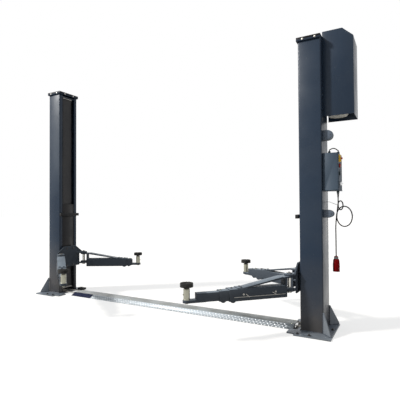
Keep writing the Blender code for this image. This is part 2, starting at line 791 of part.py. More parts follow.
def arm_outer(name, pivot):
    tube = stage_box(name, 0, ARM_ROOT, ARM_LENGTH, pivot)
    upper = LUG_UPPER - EYE_CLEARANCE - EYE_THICK
    lower = LUG_LOWER + LUG_THICK + EYE_CLEARANCE
    width = ARM_WIDTH / 2 - EYE_INSET
    strap_end = ARM_LENGTH - STRAP_BACK
    strap_tail = ARM_LENGTH - STRAP_TAIL_BACK
    lower_eye = prism(name + "_lower_eye", eye_outline(ARM_ROOT + WEB_THICK, width),
                      lower, lower + EYE_THICK, parent=pivot, cutter=True)
    upper_eye = prism(name + "_upper_eye", eye_outline(STRAP_LEVEL, width), upper, upper + EYE_THICK,
                      parent=pivot, cutter=True)
    tube_top = ARM_BOTTOM + ARM_HEIGHT
    bend_top = upper + EYE_THICK
    strap_shape = [
        (STRAP_LEVEL - EYE_INSET, bend_top), (STRAP_LEVEL - EYE_INSET, upper),
        (strap_end, tube_top - STRAP_SINK), (strap_tail, tube_top - STRAP_SINK),
        (strap_tail, tube_top + STRAP_THICK / 2), (strap_end + EYE_THICK, tube_top + STRAP_THICK / 2),
    ]
    strap = prism(name + "_strap", strap_shape, -width, width, axis="Y", parent=pivot, cutter=True)
    web = block(name + "_web", (ARM_ROOT, -width, lower),
                (ARM_ROOT + WEB_THICK, width, upper + EYE_THICK / 2), parent=pivot, cutter=True)
    boss = stage_boss(name + "_boss", 0, ARM_LENGTH, pivot)
    hollow = stage_hollow(name + "_hollow", 0, ARM_ROOT + WEB_THICK, ARM_LENGTH + CUT_PAST, pivot)
    pin_hole = rod(name + "_pin_hole", PIN_RADIUS + PIN_CLEARANCE, lower - CUT_PAST, upper + CUT_PAST,
                   parent=pivot, cutter=True)
    fuse(tube, lower_eye, upper_eye, strap, web, boss)
    carve(tube, hollow, pin_hole)
    return tube


def arm_middle(name, pivot, out):
    tube = stage_box(name, 1, MIDDLE_START + out, MIDDLE_END + out, pivot)
    boss = stage_boss(name + "_boss", 1, MIDDLE_END + out, pivot)
    hollow = stage_hollow(name + "_hollow", 1, MIDDLE_START + out - CUT_PAST, MIDDLE_END + out + CUT_PAST,
                          pivot)
    fuse(tube, boss)
    carve(tube, hollow)
    return tube


def arm_inner(name, pivot, out):
    tube = stage_box(name, 2, INNER_START + out, INNER_END + out, pivot)
    low = stage_low(2)
    centre = INNER_END + out + PAD_OFFSET
    nose = arc((centre, 0), PAD_BAR_HALF, -90, 90, 10)
    root = INNER_END + out - PAD_BAR_ROOT
    bar = prism(name + "_pad_bar", [(root, -PAD_BAR_HALF)] + nose + [(root, PAD_BAR_HALF)],
                low, low + PAD_BAR_THICK, parent=pivot, cutter=True)
    hollow = stage_hollow(name + "_hollow", 2, INNER_START + out - CUT_PAST, root, pivot)
    fuse(tube, bar)
    carve(tube, hollow)
    return tube


def barrel_seat():
    return stage_low(2) + PAD_BAR_THICK + SEAT


def pad_barrel(name, pivot, centre):
    foot = barrel_seat()
    bore = SPINDLE_RADIUS + PIN_CLEARANCE
    depth = BARREL_TOP - SPINDLE_SINK - BARREL_FLOOR
    shape = turned(name, [
        (0, depth), (bore, depth), (bore, BARREL_TOP), (BARREL_RADIUS - BARREL_SHOULDER * 0.6, BARREL_TOP),
        (BARREL_RADIUS - BARREL_SHOULDER * 0.2, BARREL_TOP - BARREL_SHOULDER * 0.4),
        (BARREL_RADIUS, BARREL_TOP - BARREL_SHOULDER), (BARREL_RADIUS, foot), (0, foot),
    ], 24, ZINC, pivot)
    shape.location = (centre, 0, 0)
    return shape


def lift_pad(name, pivot, centre):
    low = PAD_TOP - PAD_THICK
    pad = turned(name, [
        (0, PAD_TOP), (PAD_RADIUS - PAD_EDGE, PAD_TOP),
        (PAD_RADIUS - PAD_EDGE * 0.3, PAD_TOP - PAD_EDGE * 0.4),
        (PAD_RADIUS, PAD_TOP - PAD_EDGE * 1.2), (PAD_RADIUS, low + PAD_EDGE * 1.2),
        (PAD_RADIUS - PAD_EDGE * 0.3, low + PAD_EDGE * 0.4), (PAD_RADIUS - PAD_EDGE, low),
        (SPINDLE_RADIUS, low), (SPINDLE_RADIUS, BARREL_TOP - SPINDLE_SINK), (0, BARREL_TOP - SPINDLE_SINK),
    ], 28, RUBBER, pivot)
    pad.location = (centre, 0, 0)
    return pad


def swing_arm(label, side, end, swing, middle_out, inner_out, carriage_body):
    pivot = bpy.data.objects.new("pivot_" + label, None)
    PARTS.objects.link(pivot)
    pivot.parent = carriage_body
    pivot.location = (side * PIN_X, end * PIN_OFFSET, 0)
    # Zero swing points at the other post, and a larger swing turns the arm away from the middle.
    heading = (0 if side < 0 else math.pi) - side * end * math.radians(swing)
    pivot.rotation_euler = (0, 0, heading)
    arm_outer("arm_outer_" + label, pivot)
    arm_middle("arm_middle_" + label, pivot, middle_out)
    arm_inner("arm_inner_" + label, pivot, middle_out + inner_out)
    centre = INNER_END + middle_out + inner_out + PAD_OFFSET
    pad_barrel("pad_barrel_" + label, pivot, centre)
    lift_pad("lift_pad_" + label, pivot, centre)


def motor_cover(name):
    start = POST_OUTER + SEAT
    out = POST_OUTER + COVER_BOX_OUT
    t = COVER_BOX_SHEET
    front, back = -COVER_BOX_FRONT, COVER_BOX_BACK
    cx, cz = COVER_BOX_CHAMFER_X, COVER_BOX_CHAMFER_Z
    shape = [(start, COVER_BOX_BOTTOM), (out, COVER_BOX_BOTTOM), (out, COVER_BOX_TOP - cz),
             (out - cx, COVER_BOX_TOP), (start, COVER_BOX_TOP)]
    shell = prism(name, shape, front, back, axis="Y", mat=PAINT)
    bend = t * math.tan(math.atan2(cz, cx) / 2)
    inside = [(start - CUT_PAST, COVER_BOX_BOTTOM - CUT_PAST), (out - t, COVER_BOX_BOTTOM - CUT_PAST),
              (out - t, COVER_BOX_TOP - cz - bend), (out - cx - bend, COVER_BOX_TOP - t),
              (start - CUT_PAST, COVER_BOX_TOP - t)]
    hollow = prism(name + "_hollow", inside, front + t, back - t, axis="Y", cutter=True)
    carve(shell, hollow)
    return shell


def motor(name):
    middle = (POST_OUTER + MOTOR_X, MOTOR_Y)
    body = turned(name, [
        (0, MOTOR_TOP), (MOTOR_RADIUS, MOTOR_TOP),
        (MOTOR_RADIUS, MOTOR_BOTTOM + MOTOR_BAND_HIGH + MOTOR_BAND),
        (MOTOR_RADIUS + MOTOR_BAND, MOTOR_BOTTOM + MOTOR_BAND_HIGH),
        (MOTOR_RADIUS + MOTOR_BAND, MOTOR_BOTTOM + MOTOR_BAND_LOW),
        (MOTOR_RADIUS - 2 * MOTOR_BAND, MOTOR_BOTTOM), (0, MOTOR_BOTTOM),
    ], 32, MOTOR_GREY)
    body.location = (middle[0], middle[1], 0)
    flange_low = MOTOR_TOP - MOTOR_FLANGE / 2
    flange = block(name + "_flange", (POST_OUTER + SEAT, -MOTOR_FLANGE_FRONT, flange_low),
                   (middle[0] + MOTOR_FLANGE_HALF, MOTOR_Y + MOTOR_FLANGE_HALF, flange_low + MOTOR_FLANGE),
                   cutter=True)
    fuse(body, flange)
    return body


def control_box(name):
    box = block(name, (POST_OUTER + SEAT, -BOX_FRONT, BOX_BOTTOM), (BOX_FACE, BOX_BACK, BOX_TOP), PAINT)
    bevel(box, BOX_EDGE, 1)
    lip_low = BOX_BOTTOM + SEAT
    lip = block(name + "_lip", (POST_OUTER + BOX_LIP_INSET, -BOX_FRONT - BOX_LIP_REACH, lip_low),
                (BOX_FACE + BOX_LIP_REACH, BOX_BACK + BOX_LIP_REACH, lip_low + BOX_LIP), cutter=True)
    lock = rod(name + "_lock", LOCK_RADIUS, BOX_FACE - LOCK_SINK, BOX_FACE + LOCK_OUT, (PANEL_Y, LOCK_Z),
               axis="X", sides=16, cutter=True)
    cord_gland = rod(name + "_cord_gland", CORD_GLAND_RADIUS, BOX_BOTTOM - CORD_GLAND_LENGTH,
                     BOX_BOTTOM + 2 * BOX_EDGE, CORD_EXIT[:2], sides=12, cutter=True)
    glands = []
    for label, (x, y), length in (("_top_gland", CABLE_START, CABLE_GLAND_LENGTH),
                                  ("_edge_gland", CABLE_FINISH, EDGE_GLAND_LENGTH)):
        glands.append(rod(name + label, CABLE_GLAND_RADIUS, BOX_TOP - 2 * BOX_EDGE, BOX_TOP + length,
                          (POST_OUTER + x, y), sides=12, cutter=True))
    fuse(box, lip, lock, cord_gland, *glands)
    for label, level in (("red", RED_BUTTON_Z), ("dark", DARK_BUTTON_Z)):
        bore = rod(name + "_" + label + "_bore", BUTTON_RADIUS + PIN_CLEARANCE, BOX_FACE - BUTTON_BORE,
                   BOX_FACE + CUT_PAST, (PANEL_Y, level), axis="X", sides=20, cutter=True)
        carve(box, bore)
    return box


def switch_plate(name):
    half = SWITCH_PLATE_SIDE / 2
    return block(name, (BOX_FACE + SEAT, PANEL_Y - half, SWITCH_Z - half),
                 (BOX_FACE + SEAT + SWITCH_PLATE, PANEL_Y + half, SWITCH_Z + half), YELLOW)


def switch_knob(name):
    low = BOX_FACE + SWITCH_PLATE + 2 * SEAT
    knob = rod(name, KNOB_RADIUS, 0.0, KNOB_DEPTH * 0.55, axis="X", sides=24, mat=RED)
    turner = bpy.data.objects.new("turn_" + name, None)
    PARTS.objects.link(turner)
    turner.location = (low, PANEL_Y, SWITCH_Z)
    knob.parent = turner
    grip = block(name + "_grip", (KNOB_DEPTH * 0.5, -KNOB_RADIUS * 0.95, -KNOB_GRIP / 2),
                 (KNOB_DEPTH, KNOB_RADIUS * 0.95, KNOB_GRIP / 2), parent=turner, cutter=True)
    fuse(knob, grip)
    return knob


def push_button(name, level, mat):
    return rod(name, BUTTON_RADIUS, BOX_FACE - BUTTON_IN, BOX_FACE + BUTTON_OUT, (PANEL_Y, level),
               axis="X", sides=20, mat=mat)


def limit_switch(name, level, half):
    start = POST_OUTER + SEAT
    middle = POST_OUTER + LIMIT_OUT - LIMIT_NOSE
    shape = [(start, level + half), (start, level - half)]
    for k in range(LIMIT_NOSE_STEPS + 1):
        angle = math.pi * (k / LIMIT_NOSE_STEPS - 0.5)
        shape.append((middle + LIMIT_NOSE * math.cos(angle), level + half * math.sin(angle)))
    return prism(name, shape, -LIMIT_FRONT, -LIMIT_BACK, axis="Y", mat=PAINT)


def smooth_route(points, share=2):
    # Catmull-Rom points between the route's own points
    route = [Vector(p) for p in points]
    ends = [route[0] * 2 - route[1]] + route + [route[-1] * 2 - route[-2]]
    out = []
    for i in range(1, len(ends) - 2):
        a, b, c, d = ends[i - 1], ends[i], ends[i + 1], ends[i + 2]
        for k in range(share):
            t = k / share
            out.append(0.5 * ((2 * b) + (c - a) * t + (2 * a - 5 * b + 4 * c - d) * t * t
                              + (3 * b - a - 3 * c + d) * t ** 3))
    out.append(route[-1])
    return out


def turn_points(middle, half_width, half_height, front, pitch, lean=0.0, steps=12):
    # One turn of cord that starts and ends at its left, going down; its plane leans to the front.
    points = []
    for k in range(steps + 1):
        angle = math.pi * (1 + 2 * k / steps)
        out = half_width * (1 + math.cos(angle))
        points.append((
            middle[0] - half_width * math.cos(lean) + out * math.cos(lean),
            front - pitch * k / steps - out * math.sin(lean),
            middle[1] + half_height * math.sin(angle),
        ))
    return points


def cord_route():
    # Straight down out of the gland, one small turn, one large turn, and down to the plug
    x, y, z = CORD_EXIT
    lean = math.radians(LOOP_TURN)
    route = [(x, y, z - LOOP_DROP * share) for share in (0.0, 0.35, 0.7)]
    route += turn_points((x + LOOP_RADIUS * math.cos(lean), z - LOOP_DROP), LOOP_RADIUS, LOOP_RADIUS, y,
                         LOOP_PITCH, lean)
    route += turn_points((x - RING_LEFT + RING_HALF_WIDTH, z - RING_DROP), RING_HALF_WIDTH, RING_HALF_HEIGHT,
                         RING_Y, RING_PITCH)
    plug = Vector((x - PLUG_LEFT, PLUG_Y, z - PLUG_DROP))
    above = Vector((plug.x, plug.y, z - RING_DROP - RING_HALF_HEIGHT))
    return route + [tuple(above.lerp(plug, share)) for share in (0.0, 0.33, 0.66, 0.9, 1.0)]


def cable_route():
    # Straight out of the first gland, over a low arch, and straight into the second
    start = Vector((POST_OUTER + CABLE_START[0], CABLE_START[1], BOX_TOP + CABLE_GLAND_LENGTH + SEAT))
    finish = Vector((POST_OUTER + CABLE_FINISH[0], CABLE_FINISH[1], BOX_TOP + EDGE_GLAND_LENGTH + SEAT))
    stub = Vector((0, 0, CABLE_STUB))
    route = [start, start + stub / 2, start + stub]
    for share in (0.1, 0.3, 0.5, 0.7, 0.9):
        rise = CABLE_CREST * math.sin(math.pi * share)
        route.append((start + stub).lerp(finish + stub, share) + Vector((0, 0, rise)))
    route += [finish + stub, finish + stub / 2, finish]
    return [tuple(point) for point in route]


def hook_route():
    # A wire that stands straight out of the post and then runs to the cord
    x, y, z = CORD_EXIT
    root = Vector((POST_OUTER + SEAT, HOOK_Y, z - HOOK_DROP))
    bend = root + Vector((HOOK_STUB, 0, 0))
    end = Vector((x, y + CORD_RADIUS + HOOK_RADIUS + SEAT, z - LOOP_DROP))
    route = [tuple(root.lerp(bend, share)) for share in (0.0, 0.5, 1.0)]
    return route + [tuple(bend.lerp(end, share)) for share in (0.25, 0.5, 0.75, 1.0)]


def tube(name, points, radius, resolution, mat):
    curve = bpy.data.curves.new(name, "CURVE")
    curve.dimensions = "3D"
    curve.bevel_depth = radius
    curve.bevel_resolution = resolution
    curve.use_fill_caps = True
    spline = curve.splines.new("POLY")
    spline.points.add(len(points) - 1)
    for point, spot in zip(spline.points, points):
        point.co = (*spot, 1.0)
    return mesh_object(name, shade_round(curve_mesh(name, curve)), mat)


def power_plug(name):
    x, y, top = cord_route()[-1]
    top -= SEAT
    neck = top - PLUG_COLLAR
    low = top - PLUG_LENGTH
    plug = turned(name, [
        (0, top), (PLUG_COLLAR_RADIUS - PLUG_COLLAR_EDGE, top), (PLUG_COLLAR_RADIUS, top - PLUG_COLLAR_EDGE),
        (PLUG_COLLAR_RADIUS, neck), (PLUG_SHOULDER_RADIUS - PLUG_SHOULDER, neck),
        (PLUG_SHOULDER_RADIUS, neck - PLUG_SHOULDER), (PLUG_RADIUS, low + PLUG_BORE), (PLUG_RADIUS, low),
        (PLUG_RADIUS - PLUG_WALL, low), (PLUG_RADIUS - PLUG_WALL, low + PLUG_BORE), (0, low + PLUG_BORE),
    ], 24, RED)
    plug.location = (x, y, 0)
    return plug


def move_to_power_post():
    for obj in bpy.data.objects:
        if not obj.parent:
            obj.location.x -= POST_MIDDLE


def build_lift():
    for word, side in SIDES.items():
        base_plate("base_plate_" + word, side)
        post("post_" + word, side)
        lid("post_lid_" + word, side, flush=word == "right")
        curtain("slot_curtain_" + word, side)
        lift_screw("lift_screw_" + word, side)
        body = bpy.data.objects.new("carriage_frame_" + word, None)
        PARTS.objects.link(body)
        carriage("carriage_" + word, side, body)
        yoke("yoke_" + word, side, body)
        bump_bar("bump_bar_" + word, side, body)
        for label, (arm_side, end, swing, middle_out, inner_out) in ARMS.items():
            if arm_side == side:
                swing_arm(label, side, end, swing, middle_out, inner_out, body)
    drive_chain("drive_chain")
    floor_cover("floor_cover")
    motor_cover("motor_cover")
    motor("motor")
    control_box("control_box")
    switch_plate("switch_plate")
    switch_knob("switch_knob")
    push_button("red_button", RED_BUTTON_Z, RED)
    push_button("dark_button", DARK_BUTTON_Z, DARK_GREEN)
    limit_switch("limit_switch_upper", LIMIT_UPPER_Z, LIMIT_UPPER_HALF)
    limit_switch("limit_switch_lower", LIMIT_LOWER_Z, LIMIT_LOWER_HALF)
    tube("control_cable", smooth_route(cable_route()), CABLE_RADIUS, 2, CABLE_BLACK)
    tube("cord_hook", smooth_route(hook_route()), HOOK_RADIUS, 2, BRIGHT_STEEL)
    tube("power_cord", smooth_route(cord_route()), CORD_RADIUS, 2, CABLE_BLACK)
    power_plug("power_plug")


build_lift()
move_to_power_post()
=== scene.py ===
# Looks of the two post car lift: materials, fasteners, cord, rubber and sheet details, light and camera
import random
from math import atan2, cos, hypot, pi, radians, sin, tau

import bmesh
import bpy
from mathutils import Matrix, Vector


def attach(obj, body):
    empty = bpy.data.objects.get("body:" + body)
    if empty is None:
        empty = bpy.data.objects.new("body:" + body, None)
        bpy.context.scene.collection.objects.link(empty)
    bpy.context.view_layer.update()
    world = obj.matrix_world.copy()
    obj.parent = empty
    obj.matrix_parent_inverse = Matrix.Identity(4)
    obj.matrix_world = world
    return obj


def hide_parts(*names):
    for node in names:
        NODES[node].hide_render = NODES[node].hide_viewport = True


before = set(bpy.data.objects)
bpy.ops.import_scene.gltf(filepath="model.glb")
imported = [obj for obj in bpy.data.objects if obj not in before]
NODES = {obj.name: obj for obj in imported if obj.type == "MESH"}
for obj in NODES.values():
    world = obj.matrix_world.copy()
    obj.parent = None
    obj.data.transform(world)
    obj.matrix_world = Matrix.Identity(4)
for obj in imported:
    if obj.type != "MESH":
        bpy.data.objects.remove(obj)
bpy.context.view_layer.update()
rng = random.Random(7)
bpy.context.scene.view_settings.view_transform = "Standard"

# The photograph's viewpoint, in the row frame
CAMERA_PLACE = (0.7515, -3.54, 1.128)
CAMERA_YAW, CAMERA_PITCH, CAMERA_ROLL = 28.932, 1.037, -0.302
CAMERA_LENS, SENSOR_WIDTH = 33.66, 36.0
CAMERA_NEAR, CAMERA_FAR = 0.05, 100.0


moved = Matrix.Translation


def turned(angle, axis="Z"):
    return Matrix.Rotation(angle, 4, axis)


def rise(height):
    return Vector((0, 0, height))


def around(centre, radius, turn, height=0):
    """A point on a level circle."""
    return Vector((centre[0] + radius * cos(turn), centre[1] + radius * sin(turn), height))


def add(name, data):
    """A new object in the scene."""
    obj = bpy.data.objects.new(name, data)
    bpy.context.scene.collection.objects.link(obj)
    return obj


def make_camera():
    yaw, pitch, roll = (radians(a) for a in (CAMERA_YAW, CAMERA_PITCH, CAMERA_ROLL))
    ahead = Vector((-sin(yaw) * cos(pitch), cos(yaw) * cos(pitch), sin(pitch)))
    right = Vector((cos(yaw), sin(yaw), 0))
    up = right.cross(ahead)
    side = right * cos(roll) + up * sin(roll)
    top = up * cos(roll) - right * sin(roll)
    data = bpy.data.cameras.new("camera")
    data.sensor_width = SENSOR_WIDTH
    data.lens = CAMERA_LENS
    data.clip_start = CAMERA_NEAR
    data.clip_end = CAMERA_FAR
    camera = add("camera", data)
    turn = Matrix((side, top, -ahead)).transposed().to_4x4()
    camera.matrix_world = moved(CAMERA_PLACE) @ turn
    bpy.context.scene.camera = camera


make_camera()

# Pieces are laid out from the floor half way between the posts
POST_MIDDLE = 1.6635
LAID_OUT = moved((-POST_MIDDLE, 0, 0))
# Shares of a bolt head's height and radius
WASHER_HEIGHT, WASHER_RADIUS = 0.25, 1.45
SHOULDER_HEIGHT, CROWN_RADIUS = 0.9, 0.82


class Shape:
    """Solids gathered into one mesh, in the laid out frame or in another one."""

    def __init__(self, place=LAID_OUT):
        self.bm = bmesh.new()
        self.place = place

    def vert(self, spot):
        return self.bm.verts.new(self.place @ Vector(spot))

    def face(self, verts):
        self.bm.faces.new(verts)

    def put(self, made, matrix):
        bmesh.ops.transform(self.bm, matrix=self.place @ matrix, verts=made["verts"])
        return self

    def cone(self, matrix, sides, foot, top, depth):
        made = bmesh.ops.create_cone(self.bm, cap_ends=True, segments=sides, radius1=foot, radius2=top,
                                     depth=depth)
        return self.put(made, matrix)

    def rod(self, start, end, radius, sides=12, end_radius=None):
        start, end = Vector(start), Vector(end)
        along = end - start
        turn = along.to_track_quat("Z", "Y").to_matrix().to_4x4()
        top = radius if end_radius is None else end_radius
        return self.cone(moved((start + end) / 2) @ turn, sides, radius, top, along.length)

    def disc(self, place, size, sides, foot=1.0, top=1.0):
        """A low cone, stretched to a size about the middle of a place."""
        return self.cone(place @ Matrix.Diagonal((*size, 1.0)), sides, foot, top, 1.0)

    def block(self, place, size):
        """A box of a size about the middle of a place."""
        made = bmesh.ops.create_cube(self.bm, size=1.0)
        return self.put(made, place @ Matrix.Diagonal((*size, 1.0)))

    def box(self, low, high):
        low, high = Vector(low), Vector(high)
        return self.block(moved((low + high) / 2), high - low)

    def bolt(self, foot, up, radius, head, washer=True):
        foot, up = Vector(foot), Vector(up).normalized()
        if washer:
            self.rod(foot, foot + up * head * WASHER_HEIGHT, radius * WASHER_RADIUS, 20)
        shoulder = foot + up * head * SHOULDER_HEIGHT
        self.rod(foot, shoulder, radius, 6)
        return self.rod(shoulder, foot + up * head, radius, 6, radius * CROWN_RADIUS)

    def _rings(self, profile, centre, sides, closed):
        rings = []
        for radius, height in profile:
            rings.append([self.vert(around(centre, radius, tau * k / sides, height)) for k in range(sides)])
        for upper, lower in zip(rings, rings[1:] + rings[:1] * closed):
            for k in range(sides):
                self.face((upper[k], lower[k], lower[(k + 1) % sides], upper[(k + 1) % sides]))
        return rings

    def band(self, profile, centre, sides=32):
        """A turned ring, open in the middle, whose profile closes on itself."""
        self._rings(profile, centre, sides, True)
        return self

    def lathe(self, profile, centre, sides=32):
        """A turned solid, closed flat at the first and the last row of its profile."""
        rings = self._rings(profile, centre, sides, False)
        self.face(rings[0])
        self.face(rings[-1][::-1])
        return self

    def sweep(self, points, radius, sides=8):
        """A round bar along points. The radius is a number, or a function of the point's index."""
        points = [Vector(p) for p in points]
        rings = []
        side = None
        for i, point in enumerate(points):
            ahead = (points[min(i + 1, len(points) - 1)] - points[max(i - 1, 0)]).normalized()
            if side is None:
                side = ahead.orthogonal().normalized()
            side = (side - ahead * side.dot(ahead)).normalized()
            over = ahead.cross(side)
            size = radius(i) if callable(radius) else radius
            rings.append([
                self.vert(point + side * size * cos(tau * k / sides)
                          + over * size * sin(tau * k / sides))
                for k in range(sides)
            ])
        for first, second in zip(rings, rings[1:]):
            for k in range(sides):
                self.face((first[k], first[(k + 1) % sides], second[(k + 1) % sides], second[k]))
        self.face(rings[0][::-1])
        self.face(rings[-1])
        return self

    def done(self, name, mat, slot, body="root", smooth=35):
        bmesh.ops.recalc_face_normals(self.bm, faces=self.bm.faces)
        mesh = bpy.data.meshes.new(name)
        self.bm.to_mesh(mesh)
        self.bm.free()
        mesh.shade_smooth()
        mesh.set_sharp_from_angle(angle=radians(smooth))
        mesh.materials.append(mat)
        obj = add(name, mesh)
        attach(obj, body)
        return obj


# A weld bead's ripples: length, least share of the radius, and the share that chance adds
RIPPLE, RIPPLE_LEAST, RIPPLE_CHANCE = 0.004, 0.82, 0.36


def weld_bead(shape, start, end, radius=0.0035):
    start, end = Vector(start), Vector(end)
    count = max(4, int((end - start).length / RIPPLE))
    sizes = [radius * (RIPPLE_LEAST + RIPPLE_CHANCE * rng.random()) for _ in range(count + 1)]
    shape.sweep([start.lerp(end, k / count) for k in range(count + 1)], lambda i: sizes[i], 6)


EVEN = (1, 1, 1)


def fill(node, values):
    for name, value in values.items():
        node.inputs[name].default_value = value
    return node


def new_node(tree, kind, values=None):
    """A shader node, with the values of some of its inputs."""
    return fill(tree.nodes.new("ShaderNode" + kind), values or {})


class Finish:
    """One material, whose colour, roughness and bumps are built up in layers of noise."""

    def __init__(self, name, colour, roughness, metallic=0.0, specular=0.5):
        self.mat = bpy.data.materials.new(name)
        self.mat.use_nodes = True
        self.tree = self.mat.node_tree
        self.link = self.tree.links.new
        self.shader = self.tree.nodes["Principled BSDF"]
        fill(self.shader, {"Base Color": (*colour, 1.0), "Roughness": roughness, "Metallic": metallic,
                           "Specular IOR Level": specular})
        self.coords = self.node("TexCoord").outputs["Object"]

    def node(self, kind, values=None):
        return new_node(self.tree, kind, values)

    def texture(self, kind, output, scale, detail, stretch=EVEN):
        mapping = self.node("Mapping", {"Scale": stretch})
        texture = self.node(kind, {"Scale": scale, "Detail": detail})
        self.link(self.coords, mapping.inputs["Vector"])
        self.link(mapping.outputs["Vector"], texture.inputs["Vector"])
        return texture.outputs[output]

    def noise(self, scale, detail, stretch=EVEN):
        return self.texture("TexNoise", "Fac", scale, detail, stretch)

    def remap(self, value, low, high, out_low, out_high):
        span = {"From Min": low, "From Max": high, "To Min": out_low, "To Max": out_high}
        step = self.node("MapRange", span)
        self.link(value, step.inputs["Value"])
        return step.outputs["Result"]

    def height(self, vector):
        """The Z of a vector."""
        split = self.node("SeparateXYZ")
        self.link(vector, split.inputs["Vector"])
        return split.outputs["Z"]

    def blend(self, colour, factor):
        """Mixes one more colour over what Base Color holds so far."""
        socket = self.shader.inputs["Base Color"]
        mix = self.node("Mix")
        mix.data_type = "RGBA"
        if socket.is_linked:
            self.link(socket.links[0].from_socket, mix.inputs["A"])
        else:
            mix.inputs["A"].default_value = socket.default_value
        mix.inputs["B"].default_value = (*colour, 1.0)
        self.link(factor, mix.inputs["Factor"])
        self.link(mix.outputs["Result"], socket)

    def patches(self, colour, amount, scale, detail, low, high, stretch=EVEN):
        """Another colour where the noise is high."""
        self.blend(colour, self.remap(self.noise(scale, detail, stretch), low, high, 0.0, amount))

    def dust(self, colour, amount, place, scale, low, high, least):
        """A colour where the place is one, with the least share of it between its patches: dust, and the
        painted sheen and reflection that the callers lay with it.
        """
        patch = self.remap(self.noise(scale, 6), low, high, amount * least, amount)
        both = self.node("Math")
        both.operation = "MULTIPLY"
        self.link(place, both.inputs[0])
        self.link(patch, both.inputs[1])
        self.blend(colour, both.outputs[0])

    def top_dust_and_sheen(self, colour, amount, start=0.8, full=0.96):
        """A colour on the faces that look up: dust, and where the colour is pale, also a painted sheen of
        the sky on them.
        """
        normal = self.node("NewGeometry").outputs["True Normal"]
        up = self.remap(self.height(normal), start, full, 0.0, 1.0)
        self.dust(colour, amount, up, scale=7.0, low=0.3, high=0.62, least=0.65)

    def foot_dust_and_reflection(self, colour, amount, reach):
        """A warm colour that fades out with height above the floor: a painted reflection of the ground, with
        road dust.
        """
        near = self.remap(self.height(self.coords), 0.02, reach, 1.0, 0.0)
        self.dust(colour, amount, near, scale=3.0, low=0.34, high=0.6, least=0.45)

    def roughen(self, rough, scale, detail, low, high, stretch=EVEN):
        """Roughness between two values, by noise."""
        value = self.remap(self.noise(scale, detail, stretch), low, high, *rough)
        self.link(value, self.shader.inputs["Roughness"])

    def bump(self, height, strength, distance):
        step = self.node("Bump", {"Strength": strength, "Distance": distance})
        self.link(height, step.inputs["Height"])
        normal = self.shader.inputs["Normal"]
        if normal.is_linked:
            self.link(normal.links[0].from_socket, step.inputs["Normal"])
        self.link(step.outputs["Normal"], normal)


SCUFF = (0.3, 0.31, 0.32)
# Pale blue grey for faces that look up: dust, and a painted sheen of the sky
SKY_SHEEN_AND_DUST = (0.3, 0.345, 0.385)
# Warm brown near the floor: a painted reflection of the ground, with road dust
GROUND_REFLECTION_AND_DUST = (0.115, 0.1, 0.084)
GROUND_REFLECTION_REACH = 0.7


def paint(name, colour, dust, rough=(0.26, 0.42), dusty=0.35, scuffs=0.35, top=0.0, specular=0.25, foot=0.0):
    """Sprayed paint with clouds and specks of dust and with scuffs. Faces that look up can be made paler, a
    painted sky sheen with dust, and the foot warmer, a painted ground reflection with road dust.
    """
    finish = Finish(name, colour, 0.33, specular=specular)
    finish.patches(dust, dusty, scale=2.2, detail=5, low=0.42, high=0.72)
    finish.patches(dust, dusty * 0.5, scale=60.0, detail=3, low=0.62, high=0.78, stretch=(1, 1, 0.35))
    finish.patches(SCUFF, scuffs, scale=9.0, detail=8, low=0.725, high=0.76, stretch=(14, 14, 1.2))
    # Faces that look up are made paler: partly dust, partly a painted sheen of the sky
    if top:
        finish.top_dust_and_sheen(SKY_SHEEN_AND_DUST, top)
    # The foot is made warmer: a painted reflection of the ground, with road dust
    if foot:
        finish.foot_dust_and_reflection(GROUND_REFLECTION_AND_DUST, foot, GROUND_REFLECTION_REACH)
    finish.roughen(rough, scale=5.0, detail=6, low=0.35, high=0.7)
    finish.bump(finish.noise(420.0, 2), 0.1, 0.0006)
    finish.bump(finish.noise(3.0, 2), 0.1, 0.004)
    return finish.mat


def lid_paint(name, colour, dust, skirt, band):
    """Black paint on a lid, and the posts' paint on its skirt below the height of the band."""
    edge = 0.001
    finish = Finish(name, colour, 0.42, specular=0.12)
    finish.patches(dust, 0.4, scale=9.0, detail=6, low=0.42, high=0.72)
    finish.blend(skirt, finish.remap(finish.height(finish.coords), band - edge, band + edge, 1.0, 0.0))
    finish.roughen((0.34, 0.52), scale=5.0, detail=6, low=0.35, high=0.7)
    finish.bump(finish.noise(420.0, 2), 0.1, 0.0006)
    return finish.mat


def bare_metal(name, colour, rough=(0.28, 0.45), grain=EVEN, metallic=1.0, stain=(0.1, 0.08, 0.06)):
    finish = Finish(name, colour, 0.35, metallic)
    finish.patches(stain, 0.6, scale=18.0, detail=6, low=0.52, high=0.75)
    finish.roughen(rough, scale=40.0, detail=4, low=0.3, high=0.7, stretch=grain)
    finish.bump(finish.noise(160.0, 3, grain), 0.12, 0.0006)
    return finish.mat


def galvanised(name):
    finish = Finish(name, (0.6, 0.66, 0.7), 0.38, 0.62)
    spangle = finish.texture("TexVoronoi", "Distance", 42.0, 0)
    finish.blend((0.54, 0.58, 0.61), finish.remap(spangle, 0.1, 0.9, 0.0, 0.45))
    finish.patches((0.34, 0.34, 0.32), 0.35, scale=3.5, detail=6, low=0.5, high=0.75, stretch=(0.4, 2, 1))
    finish.top_dust_and_sheen((0.235, 0.238, 0.218), 0.9, 0.93, 0.98)
    finish.roughen((0.3, 0.5), scale=9.0, detail=5, low=0.3, high=0.7)
    finish.bump(finish.noise(30.0, 4), 0.1, 0.002)
    return finish.mat


def rubber(name, colour, dust, rough=0.75, grain=180.0, specular=0.2):
    finish = Finish(name, colour, rough, 0.0, specular)
    finish.patches(dust, 0.55, scale=14.0, detail=6, low=0.45, high=0.75)
    finish.bump(finish.noise(grain, 3), 0.25, 0.0008)
    return finish.mat


def plastic(name, colour, rough=0.38, wear=(0.5, 0.5, 0.5), specular=0.25):
    finish = Finish(name, colour, rough, 0.0, specular)
    finish.patches(wear, 0.25, scale=50.0, detail=5, low=0.58, high=0.8)
    finish.roughen((rough - 0.07, rough + 0.1), scale=30.0, detail=4, low=0.3, high=0.7)
    finish.bump(finish.noise(600.0, 2), 0.12, 0.0003)
    return finish.mat


